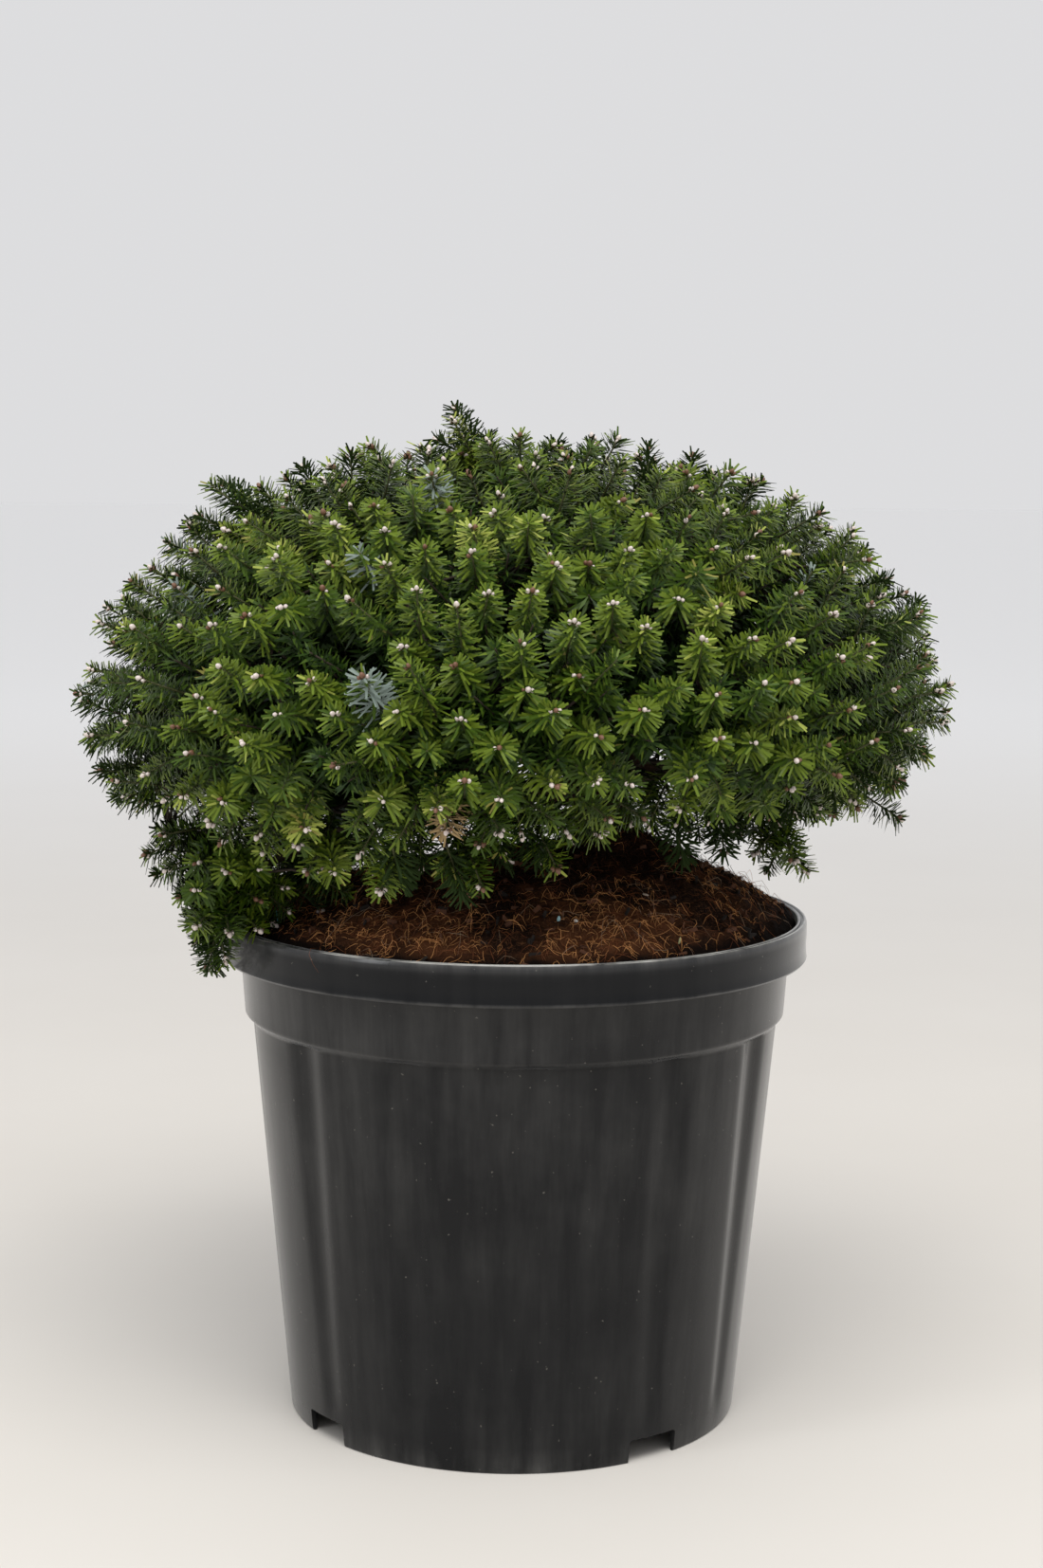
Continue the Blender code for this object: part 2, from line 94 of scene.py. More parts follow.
# %% Camera
EYE = Vector((0.0031, -1.4536, 0.5209))
LOOK_DOWN, ROLL = math.radians(6.88), 0.0069
lens = bpy.data.cameras.new("camera")
lens.lens, lens.sensor_width = 61.27, 36.0
camera = bpy.data.objects.new("camera", lens)
camera.matrix_world = (Matrix.Translation(EYE) @ Matrix.Rotation(math.pi / 2 - LOOK_DOWN, 4, "X")
                       @ Matrix.Rotation(ROLL, 4, "Z"))
scene.collection.objects.link(camera)
scene.camera = camera
scene.view_settings.view_transform = "Standard"
scene.view_settings.look = "None"
print("camera:", [round(v, 4) for v in EYE], "m, lens", lens.lens, "mm")

# %% [markdown]
# A finish is a small graph of shader nodes. A few helpers add the kinds of node that all finishes
# share, so that each finish further down reads as a short list of what it is made of.

# %% Node helpers
def node(tree, kind, settings=None, **inputs):
    """Adds a shader node. Inputs are sockets to link from or values; names use _ for a space."""
    made = tree.nodes.new(kind)
    for name, value in (settings or {}).items():
        setattr(made, name, value)
    for name, value in inputs.items():
        key = int(name[1:]) if name[0] == "i" and name[1:].isdigit() else name.replace("_", " ")
        if isinstance(value, bpy.types.NodeSocket):
            tree.links.new(value, made.inputs[key])
        else:
            made.inputs[key].default_value = value
    return made


def new_finish(name, base=(0.5, 0.5, 0.5), roughness=0.5, **sockets):
    """A Principled material, and its node tree and shader for what is linked on."""
    material = bpy.data.materials.new(name)
    material.use_nodes = True
    shader = material.node_tree.nodes["Principled BSDF"]
    shader.inputs["Base Color"].default_value = (*base, 1.0)
    shader.inputs["Roughness"].default_value = roughness
    for socket, value in sockets.items():
        shader.inputs[socket.replace("_", " ")].default_value = value
    return material, material.node_tree, shader


def wire(tree, shader, **sockets):
    """Links sockets into the shader's inputs."""
    for name, socket in sockets.items():
        tree.links.new(socket, shader.inputs[name.replace("_", " ")])


def speckled(tree, place, scale, detail, **more):
    """Noise between 0 and 1 at each place."""
    return node(tree, "ShaderNodeTexNoise", Vector=place, Scale=scale, Detail=detail, **more).outputs["Fac"]


def spread(tree, value, low, high, to_low=0.0, to_high=1.0):
    """Stretches the values from low to high over another range and holds its ends."""
    return node(tree, "ShaderNodeMapRange", Value=value, From_Min=low, From_Max=high,
                To_Min=to_low, To_Max=to_high).outputs[0]


def worked(tree, operation, one, other):
    return node(tree, "ShaderNodeMath", {"operation": operation}, i0=one, i1=other).outputs[0]


def mixed(tree, share, low, high):
    """A colour between two, each of them a socket or a colour."""
    low, high = (side if isinstance(side, bpy.types.NodeSocket) else (*side, 1.0) for side in (low, high))
    return node(tree, "ShaderNodeMix", {"data_type": "RGBA"}, Factor=share, i6=low, i7=high).outputs[2]


def ramp(tree, share, stops):
    """A colour ramp. A stop is a position with a grey or a colour."""
    made = node(tree, "ShaderNodeValToRGB", i0=share)
    elements = made.color_ramp.elements
    for index, (position, colour) in enumerate(stops):
        element = elements[index] if index < 2 else elements.new(position)
        element.position = position
        element.color = (*colour, 1.0) if isinstance(colour, tuple) else (colour, colour, colour, 1.0)
    return made.outputs[0]


# %% World and lamps
ROOM_WHITE = (0.985, 0.985, 1.0, 1.0)
world = bpy.data.worlds.new("white_room")
world.use_nodes = True
world.node_tree.nodes["Background"].inputs["Color"].default_value = ROOM_WHITE
world.node_tree.nodes["Background"].inputs["Strength"].default_value = 0.735
scene.world = world


def soft_lamp(name, place, aim, size, watts, tint):
    lamp = bpy.data.lights.new(name, "AREA")
    lamp.shape, lamp.size, lamp.size_y = "RECTANGLE", size[0], size[1]
    lamp.energy, lamp.color = watts, tint
    holder = bpy.data.objects.new(name, lamp)
    holder.location = place
    holder.rotation_euler = (Vector(aim) - Vector(place)).to_track_quat("-Z", "Y").to_euler()
    scene.collection.objects.link(holder)


soft_lamp("overhead_lamp", (0.2, -1.25, 2.4), (0.0, 0.0, 0.35), (1.8, 1.2), 46.0, (1.0, 0.99, 0.97))
soft_lamp("side_lamp", (-1.9, -1.3, 1.2), (0.0, 0.0, 0.25), (0.5, 1.6), 8.0, (0.95, 0.98, 1.0))

# %% Floor
FLOOR_SIZE, FADE_FROM, FADE_TO = 60.0, 0.5, 4.5  # the floor fades into the white room
bpy.ops.mesh.primitive_plane_add(size=FLOOR_SIZE)
floor = bpy.context.object
floor.name = "floor"
floor_finish, tree, shader = new_finish("floor_cream", (0.72, 0.68, 0.63), 0.6, Specular_IOR_Level=0.2)
place = node(tree, "ShaderNodeTexCoord").outputs["Object"]
cream = mixed(tree, speckled(tree, place, 3.0, 6.0), (0.69, 0.655, 0.605), (0.75, 0.72, 0.675))
away = node(tree, "ShaderNodeVectorMath", {"operation": "LENGTH"}, Vector=place).outputs["Value"]
fade = node(tree, "ShaderNodeMapRange", {"interpolation_type": "SMOOTHSTEP"}, Value=away,
            From_Min=FADE_FROM, From_Max=FADE_TO).outputs[0]
wire(tree, shader, Base_Color=mixed(tree, fade, cream, (0.985, 0.985, 0.985)))
floor.data.materials.append(floor_finish)
floor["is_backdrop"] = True
print("floor and light ready")

# %% [markdown]
# ## The pot
# A blow-moulded nursery pot is one thin plastic wall: a tapered body, a wider band above it, and a
# rolled rim. A closed outline of the wall, drawn point by point by extruding one vertex and then
# spun round the axis, gives the true thickness everywhere. Twelve shallow flutes stiffen the body,
# at uneven steps. They are pressed in afterwards by moving vertices, because they narrow and fade
# towards the foot.

# %% Pot sizes
RIM_R, RIM_TOP, RIM_BOTTOM, LIP_R = 0.1602, 0.2744, 0.2529, 0.1550
BAND_TOP_R, BAND_R, BAND_BOTTOM = 0.1503, 0.1483, 0.2215
BODY_TOP_R, BODY_TOP, FOOT_R = 0.1445, 0.2183, 0.1237
WALL, FLOOR_Z, DISC_R, MOAT = 0.0025, 0.003, 0.070, 0.0135
ROUND_STEPS, WALL_RINGS, BODY_RINGS = 288, 8, 26
FLUTE_SPOTS = [math.radians(spot) for spot in (-49, -23, 4, 34, 62, 92, 122, 153, 184, 215, 246, 278)]
FLUTE_DEPTH, FLUTE_FADE = 0.0027, 0.35  # depth under the band, and the share of it left at the foot
FLUTE_END, FLUTED_R = 0.02, 0.11  # the flutes stop at this height, and the moat lies inside this radius
FLUTE_LOW, FLUTE_HIGH = math.radians(4.0), math.radians(6.5)  # half widths at the foot and the band
NOTCH_START, NOTCH_LONG, NOTCH_WIDTH, NOTCH_HEIGHT = math.radians(37.0), 0.016, 0.031, 0.0130
NOTCH_ROUND, SOFT_ANGLE = 0.0016, math.radians(32)


def body_radius(height):
    return FOOT_R + (BODY_TOP_R - FOOT_R) * height / BODY_TOP


def heading(azimuth):
    """Level unit vector for an azimuth that runs from the front, -Y, towards +X."""
    return Vector((math.sin(azimuth), -math.cos(azimuth), 0.0))


# %% Helpers that draw and spin a wall
def spun(name, outline, steps):
    """Extrudes one vertex along (radius, height) points and spins the line into a closed body."""
    bpy.ops.object.select_all(action="DESELECT")
    bpy.ops.mesh.primitive_plane_add(size=0.01)
    piece = bpy.context.object
    piece.name = piece.data.name = name
    bpy.ops.object.mode_set(mode="EDIT")
    bpy.ops.mesh.select_all(action="SELECT")
    bpy.ops.mesh.merge(type="CENTER")
    bpy.ops.transform.translate(value=(outline[0][0], 0.0, outline[0][1]))
    for (r_a, z_a), (r_b, z_b) in zip(outline, outline[1:]):
        bpy.ops.mesh.extrude_region_move(TRANSFORM_OT_translate={"value": (r_b - r_a, 0.0, z_b - z_a)})
    bpy.ops.mesh.select_all(action="SELECT")
    bpy.ops.mesh.spin(steps=steps, angle=math.tau, center=(0, 0, 0), axis=(0, 0, 1))
    bpy.ops.mesh.select_all(action="SELECT")
    bpy.ops.mesh.remove_doubles(threshold=0.00001)
    bpy.ops.mesh.normals_make_consistent(inside=False)
    bpy.ops.object.mode_set(mode="OBJECT")
    return piece


def rise(low, high, steps, radius):
    """Rings up a straight stretch of wall, so that the flutes have vertices to move."""
    heights = [low + (high - low) * i / steps for i in range(steps + 1)]
    return [(radius(height), height) for height in heights]


def beside(radius, height, *steps):
    """Outline points at small steps outwards and up, in tenths of a millimetre, from one place."""
    return [(radius + out / 10000, height + up / 10000) for out, up in steps]


# %% The pot's outline, and its wall
low = MOAT + FLOOR_Z
wall_inside = [(0.0, FLOOR_Z), (DISC_R - 0.003, FLOOR_Z), (DISC_R + 0.001, low)]
wall_inside += rise(low, BODY_TOP, WALL_RINGS, lambda z: body_radius(z) - WALL)
wall_inside += [(BAND_R - WALL, BAND_BOTTOM + 0.0012), (BAND_TOP_R - WALL, RIM_BOTTOM + WALL),
                (LIP_R, RIM_BOTTOM + WALL + 0.001)]
lip = beside(LIP_R, RIM_TOP, (0, -18), (3, -6), (10, 0), (17, -2), (22, -10))  # two beads, one groove
lip += beside(RIM_R, RIM_TOP, (-22, -10), (-17, -2), (-12, 0), (-6, -4), (-1, -16), (0, -30), (0, -80))
lip += beside(RIM_R, RIM_BOTTOM, (-3, 70), (0, 24), (2, 12), (-4, 2), (-14, 0))
band = beside(BAND_TOP_R, RIM_BOTTOM, (12, 0), (2, -6), (0, -18))
band += beside(BAND_R, BAND_BOTTOM, (1, 22), (0, 10), (-5, 2))
band += beside(BODY_TOP_R, BODY_TOP, (9, 12), (2, 2))
body = rise(BODY_TOP - 0.0008, 0.0045, BODY_RINGS, body_radius)
foot = beside(FOOT_R, 0.0, (1, 18), (-2, 6), (-9, 0)) + beside(FOOT_R - WALL, 0.0, (0, 0))
foot += [(FOOT_R - WALL + 0.0005, MOAT), (DISC_R + 0.004, MOAT), (DISC_R, 0.0), (0.0, 0.0)]
pot = spun("nursery_pot", wall_inside + lip + band + body + foot, ROUND_STEPS)
print("pot wall:", len(pot.data.polygons), "faces")

# %% Press in the flutes
for vertex in pot.data.vertices:
    x, y, z = vertex.co
    radius = math.hypot(x, y)
    if radius < FLUTED_R or not FLUTE_END < z < BODY_TOP + 0.0004:
        continue
    share, azimuth = z / BODY_TOP, math.atan2(x, -y)
    wide = FLUTE_LOW + (FLUTE_HIGH - FLUTE_LOW) * share
    off = min(wide, min(abs(math.remainder(azimuth - spot, math.tau)) for spot in FLUTE_SPOTS))
    depth = FLUTE_DEPTH * (FLUTE_FADE + (1 - FLUTE_FADE) * share)
    depth *= 0.5 + 0.5 * math.cos(math.pi * off / wide)
    vertex.co.x *= 1 - depth / radius
    vertex.co.y *= 1 - depth / radius
print("flutes:", len(FLUTE_SPOTS))

# %% [markdown]
# Water leaves through four drain notches in the foot. They are cut with boxes, as the mould's
# inserts do, and the boxes' bevelled edges give the notches their round corners.

# %% Cut the notches
for quarter in range(4):
    azimuth = NOTCH_START + quarter * math.pi / 2
    bpy.ops.object.select_all(action="DESELECT")
    bpy.ops.mesh.primitive_cube_add(size=1.0)
    cutter = bpy.context.object
    cutter.scale = (NOTCH_LONG, NOTCH_WIDTH, NOTCH_HEIGHT)
    cutter.location = heading(azimuth) * (FOOT_R + 0.0005) + Vector((0, 0, NOTCH_HEIGHT / 2 - 0.0005))
    cutter.rotation_euler = (0, 0, azimuth - math.pi / 2)
    bpy.ops.object.transform_apply(location=True, rotation=True, scale=True)
    bpy.ops.object.mode_set(mode="EDIT")
    bpy.ops.mesh.select_all(action="SELECT")
    bpy.ops.mesh.bevel(offset=NOTCH_ROUND, segments=3, affect="EDGES")
    bpy.ops.object.mode_set(mode="OBJECT")
    cut = pot.modifiers.new("notch", "BOOLEAN")
    cut.operation, cut.solver, cut.object = "DIFFERENCE", "EXACT", cutter
    bpy.context.view_layer.objects.active = pot
    bpy.ops.object.modifier_apply(modifier=cut.name)
    bpy.data.objects.remove(cutter)
bpy.ops.object.select_all(action="DESELECT")
pot.select_set(True)
bpy.ops.object.shade_smooth_by_angle(angle=SOFT_ANGLE)
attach(pot, "root")
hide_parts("pot")
print("pot with notches:", len(pot.data.polygons), "faces")

# %% [markdown]
# The plastic is charcoal black and half glossy. Water has dried on it in upright streaks. Dust
# lies on the foot and on the ledge under the rim, where a pale line is partly painted highlight,
# and hands have left a faint bloom on the rim. The lip's beads carry painted highlights, broken in
# places. So the finish varies with the height.

# %% Pot plastic
plastic, tree, shader = new_finish("black_nursery_plastic", (0.012, 0.013, 0.015), 0.36,
                                   Sheen_Roughness=0.35)
place = node(tree, "ShaderNodeTexCoord").outputs["Object"]
tall = node(tree, "ShaderNodeMapping", Vector=place, Scale=(1.0, 1.0, 0.07)).outputs[0]
clouds = speckled(tree, place, 16.0, 5.0, Roughness=0.6)
streaks = worked(tree, "MULTIPLY", speckled(tree, tall, 95.0, 5.0, Roughness=0.6), clouds)
level = spread(tree, node(tree, "ShaderNodeSeparateXYZ", Vector=place).outputs["Z"], 0.0, RIM_TOP)
dust_and_highlight_levels = ramp(tree, level, (  # dust at each level, foot to lip, with painted highlight under the rim and on the lip
    (0.0, 0.36), (0.05, 0.10), (0.30, 0.06), (0.55, 0.12), (0.78, 0.12), (0.803, 0.12), (0.808, 0.17),
    (0.813, 0.15), (0.90, 0.14), (0.920, 0.12), (0.924, 0.42), (0.929, 0.03), (0.97, 0.02),
    (0.985, 0.07), (0.994, 0.22), (0.998, 0.50), (0.9993, 1.0)))
shine = ramp(tree, level, (  # the rim's face is wiped dull and its shoulder is polished
    (0.0, 0.22), (0.79, 0.23), (0.803, 0.14), (0.808, 0.27), (0.922, 0.28), (0.929, 0.14),
    (0.980, 0.15), (0.992, 0.48), (1.0, 0.70)))
dust_and_highlight_film = worked(tree, "MULTIPLY", spread(tree, streaks, 0.16, 0.40), dust_and_highlight_levels)
grit = spread(tree, speckled(tree, place, 420.0, 1.0), 0.765, 0.79)
# Painted highlight: the same pale dust colour also paints the line under the rim and the lip's beads.
dust_and_highlight_colour = mixed(tree, dust_and_highlight_film, (0.0040, 0.0044, 0.0054), (0.165, 0.162, 0.155))
dotted = mixed(tree, grit, dust_and_highlight_colour, (0.09, 0.085, 0.075))
# Painted highlight: a broken pale line along the lip's outer bead, mixed into the colour.
painted_glint = worked(tree, "MULTIPLY", spread(tree, level, 0.9985, 0.9994), spread(tree, clouds, 0.44, 0.56))
grain = node(tree, "ShaderNodeBump", Height=speckled(tree, place, 900.0, 2.0), Strength=0.06,
             Distance=0.0004)
wire(tree, shader, Base_Color=mixed(tree, painted_glint, dotted, (0.66, 0.65, 0.61)), Specular_IOR_Level=shine,
     Sheen_Weight=spread(tree, level, 0.79, 0.93, 0.18, 0.80),
     Roughness=spread(tree, streaks, 0.12, 0.42, 0.14, 0.27), Normal=grain.outputs[0])
pot.data.materials.clear()
pot.data.materials.append(plastic)
print("pot plastic:", len(tree.nodes), "nodes")

# %% [markdown]
# ## The crown's rule
# The crown is a dome over a waist with a hem below it, a lobe that weeps past the rim on the left,
# and a few leading shoots that reach out of the skin. Behind the lobe the hem sags, and small
# drapes hang wherever light would shine through it. One function gives a level below 1 inside all
# of that. Fourteen foliage masses share the space: a point belongs to the mass whose middle is
# nearest. The solids follow the same rule without the sag and the drapes, so what grows here keeps
# close to them.

# %% Sizes of the crown and the trunk
SOIL_EDGE, SOIL_PEAK, SOIL_R, MOUND_POWER = 0.2715, 0.3090, 0.1543, 2.2
TRUNK_X, FOOT_PLATE_R = 0.053, 0.024
HALF_WIDTH, HALF_DEPTH, WAIST_Z, DOME_HEIGHT = 0.237, 0.222, 0.400, 0.138
HEM_Z, HEM_SWING, HEM_TURN, HEM_POWER = 0.314, 0.016, math.radians(50.0), 2.6
HEM_SAG, SAG_TURN, SAG_WIDE = 0.046, math.radians(-120.0), 0.6  # the sag behind the lobe
LOBE_MIDDLE, LOBE_SIZE = np.array((-0.152, -0.064, 0.300)), np.array((0.029, 0.042, 0.050))
LOBE_TIP = Vector((-0.085, -0.032, 0.328))
LEADER_R, DRAPE_R = 0.020, 0.021
LEADERS = np.array((  # in millimetres, as the drapes are
    (-33, -5, 533), (-156, -26, 503), (-192, 10, 452), (-220, 25, 350), (-178, -62, 318),
    (196, 0, 342), (146, -22, 315), (78, -66, 330), (80, 95, 328), (12, -140, 334), (-15, -105, 330),
    (-30, -150, 322), (-62, -142, 322), (-96, -125, 322), (-85, -95, 326), (-115, 75, 326),
    (-70, 120, 326))) / 1000
DRAPES = np.array((
    (-158, -45, 338), (-130, -70, 330), (-112, -92, 326), (-92, -60, 318), (-122, -30, 326),
    (-60, -85, 322), (-140, -95, 328), (-30, -70, 330), (-165, -10, 335), (-10, 20, 332),
    (-80, 10, 326), (110, -50, 334), (130, 50, 334), (-150, -52, 314), (-128, -48, 306),
    (-106, -58, 305), (-86, -82, 306), (-142, -18, 314), (-118, 4, 310), (-162, -30, 322),
    (-100, -20, 310), (-104, 56, 312), (-76, 78, 314), (-50, 56, 314), (-128, 40, 312),
    (-94, 104, 316), (-58, 118, 318), (-24, 94, 318), (-128, -75, 302), (-112, -40, 300),
    (-134, -30, 300), (-168, -45, 345), (-172, -22, 340), (-182, -45, 348), (-150, 20, 325),
    (-143, 80, 300), (-118, 90, 298), (-92, 80, 300), (-66, 80, 300), (-124, 34, 300), (-92, 30, 301),
    (-64, 30, 304), (-30, 60, 306), (-20, 150, 326), (30, 130, 330), (-137, 50, 296),
    (-118, 60, 294))) / 1000
BALLS = [(ball, LEADER_R) for ball in LEADERS] + [(ball, DRAPE_R) for ball in DRAPES]
TRUNK_FOOT = Vector((TRUNK_X, 0.0, SOIL_PEAK + 0.0003))
TRUNK_WAY = [(0, 0, 0), (0, 0, 0.005), (-0.001, 0, 0.016), (-0.006, 0.001, 0.035),
             (-0.017, 0.003, 0.070), (-0.031, 0.001, 0.108), (-0.042, -0.001, 0.142)]
TRUNK_RADII = [0.0190, 0.0165, 0.0128, 0.0112, 0.0098, 0.0076, 0.0050]
TIERS = {  # masses, first azimuth, radius and height of middles and of bough tips, and the boughs'
    # first height on the trunk, the step from one to the next, and in which order they take them
    "lower": (7, -5.0, 0.150, 0.370, 0.078, 0.354, 0.341, 0.0085, 3),
    "upper": (5, 20.0, 0.098, 0.464, 0.046, 0.440, 0.404, 0.0085, 2)}
dice = np.random.default_rng(11)
print("crown rule: a dome, a skirt, a lobe and", len(BALLS), "balls")

# %% The rule as a function
def plant_level(points, grown=0.0):
    """Below 1 inside the crown or its lobe, 1 on their skin, for an array of points."""
    x, y, z = points[..., 0], points[..., 1], points[..., 2]
    azimuth = np.arctan2(x, -y)
    reach = HALF_DEPTH + (HALF_WIDTH - HALF_DEPTH) * np.sin(azimuth) ** 2 + grown
    radius = np.hypot(x, y)
    sag = HEM_SAG * np.exp(-((azimuth - SAG_TURN) / SAG_WIDE) ** 2)
    hem = np.minimum(HEM_Z - HEM_SWING * np.cos(2 * (azimuth + HEM_TURN)) - sag - grown, WAIST_Z - 0.01)
    dome = (radius / reach) ** 2 + ((z - WAIST_Z) / (DOME_HEIGHT + grown)) ** 2
    skirt = (radius / reach) ** HEM_POWER + (np.abs(WAIST_Z - z) / (WAIST_Z - hem)) ** HEM_POWER
    level = np.where(z >= WAIST_Z, dome, skirt)
    for ball, size in BALLS:
        level = np.minimum(level, np.linalg.norm(points - ball, axis=-1) / max(size + grown, 1e-4))
    lobe = np.linalg.norm((points - LOBE_MIDDLE) / np.maximum(LOBE_SIZE + grown, 1e-4), axis=-1)
    beside_pot = (z < RIM_TOP + 0.004 - grown) & (radius < RIM_R + 0.003 - grown)
    return np.minimum(level, np.where(beside_pot, 1.5, lobe))


# %% [markdown]
# The trunk follows a few given points. Each bough is a smooth curve from the trunk to its mass,
# which needs only its two ends and the ways it leaves and arrives. They are worked out before the
# foliage, because the twigs start where the boughs end.

# %% Masses, trunk and boughs
trunk_points = [TRUNK_FOOT + Vector(way) for way in TRUNK_WAY]


def trunk_at(height):
    """Middle, direction and radius of the trunk at a height."""
    for a, b, r_a, r_b in zip(trunk_points, trunk_points[1:], TRUNK_RADII, TRUNK_RADII[1:]):
        if height <= b.z or b is trunk_points[-1]:
            share = (height - a.z) / (b.z - a.z)
            return a.lerp(b, share), (b - a).normalized(), r_a + (r_b - r_a) * share


def bough_way(leave, tip, arrive):
    """Points of a bough from inside the trunk's bark to its tip, which it reaches along arrive."""
    middle, along, radius = trunk_at(leave)
    level = Vector((tip.x - middle.x, tip.y - middle.y, 0)).normalized()
    out = (level - level.dot(along) * along).normalized()
    start = middle + out * radius * 0.6
    swing = 0.3 * (tip - start).length
    bend_a, bend_b = start + out * swing, tip - arrive * swing
    return [start * (1 - t) ** 3 + bend_a * (3 * t * (1 - t) ** 2) + bend_b * (3 * t * t * (1 - t))
            + tip * t ** 3 for t in np.linspace(0, 1, 15)]


masses = []
for tier, (count, first, r, z, tip_r, tip_z, leave, rise_step, stride) in TIERS.items():
    for index in range(count):
        out = heading(math.radians(first) + index * math.tau / count)
        middle, tip = out * r + Vector((0, 0, z)), out * tip_r + Vector((0, 0, tip_z))
        masses.append({"name": f"{tier}_{index + 1}", "middle": middle, "tip": tip,
                       "leave": leave + rise_step * (index * stride % count)})
masses.append({"name": "top", "middle": Vector((-0.006, -0.002, 0.500)), "tip": trunk_points[-1]})
masses.append({"name": "weeping", "middle": Vector(LOBE_MIDDLE), "tip": LOBE_TIP, "leave": 0.332})
boughs = {}
for mass in masses:
    mass["arrive"] = (mass["middle"] - mass["tip"]).normalized()
    if "leave" in mass:
        boughs[mass["name"]] = bough_way(mass["leave"], mass["tip"], mass["arrive"])
middles = np.array([mass["middle"] for mass in masses])
print(len(masses), "masses on", len(boughs), "boughs and the trunk")

# %% [markdown]
# ## Shoots
# Directions are tried at random from each mass's middle. Where one meets the skin inside that
# mass's own space, and no other shoot is too near, a shoot ends there. Three more layers end
# deeper, because a real crown is closed by its older, darker twigs, and a few listed shoots
# close the last holes. A shoot points out of the skin and lifts towards the light, most of all on
# top, and hangs a little at the hem.

# %% Sizes of the shoots
LAYERS = [dict(zip(("depth", "spacing", "needles", "long", "length", "wide"), row)) for row in (
    # range of depth under the skin, least distance, needles, their length, shoot length, width
    ((-0.004, 0.018), 0.0188, 98, 0.0106, 0.031, 0.80), ((0.018, 0.032), 0.0180, 60, 0.0120, 0.034, 1.0),
    ((0.036, 0.054), 0.0195, 44, 0.0145, 0.032, 1.4), ((0.064, 0.090), 0.0215, 50, 0.0175, 0.036, 2.0))]
TRIES, REACH_MOST, STEM_CONE = 1500, 0.155, -0.75  # no shoot grows back along its mass's own stem
CLUMP_WAVES = np.array((95.0, 30.0, 70.0)), np.array((-52.0, 88.0, 64.0))  # radians in a metre
CLUMP_WAVE, CLUMP_DICE = 0.22, 0.16  # how much the crossing waves and chance move a shoot's depth
WEEPING_DEPTH, WEEPING_SPACING = 0.5, 0.8  # the weeping mass is shallower and denser than the others
UNDER_DEPTH, FAN, SQUAT, WOBBLE = 0.75, 0.7, 0.6, 0.16  # shallower beneath; spread, flatness, chance
LENGTH_SPREAD, LENGTH_MOST = (0.75, 1.25), 0.62  # the most is a share of the way to the mass's middle
FED_INSIDE, DEEP_SHARE = 0.97, 0.6  # a shoot's foot lies inside the skin, an inner one's tip deeper still
LIFTS = (  # heights in the crown, and how far a shoot there lifts or hangs
    (0.27, 0.31, 0.34, 0.37, 0.42, 0.50, 0.55), (-0.55, -0.35, -0.12, 0.08, 0.18, 0.16, 0.22))
FILLERS = np.array((  # tips of the listed shoots, low on the left
    (-101, 30, 345), (-90, 50, 334), (-108, 20, 329), (-94, 0, 342), (-117, -25, 298),
    (-111, -45, 303))) / 1000
FILLER_WAY, FILLER_LENGTH = (0.0, -1.0, 0.25), 0.028

# %% Directions and the skin
def unit(rows):
    return rows / np.maximum(np.linalg.norm(rows, axis=-1, keepdims=True), 1e-9)


def skin_along(middle, ways):
    """How far the skin lies from a middle along each of many directions, by halving."""
    near, far = np.zeros(len(ways)), np.full(len(ways), 0.16)
    for _ in range(22):
        half = (near + far) / 2
        inside = plant_level(middle + ways * half[:, None]) < 1
        near, far = np.where(inside, half, near), np.where(inside, far, half)
    return near


def skin_normal(points):
    """Outward direction of the skin near each point, from the level's slope."""
    step = 0.002
    slope = np.stack([plant_level(points + step * axis) - plant_level(points - step * axis)
                      for axis in np.eye(3)], axis=-1)
    return unit(slope)


def relief(points):
    """0 to 1: how deep the crown's surface dips, in clumps a few centimetres wide."""
    waves = np.sin(points @ CLUMP_WAVES[0] + 1.0) + np.sin(points @ CLUMP_WAVES[1])
    return np.clip(0.5 + CLUMP_WAVE * waves + dice.normal(scale=CLUMP_DICE, size=len(points)), 0, 1)


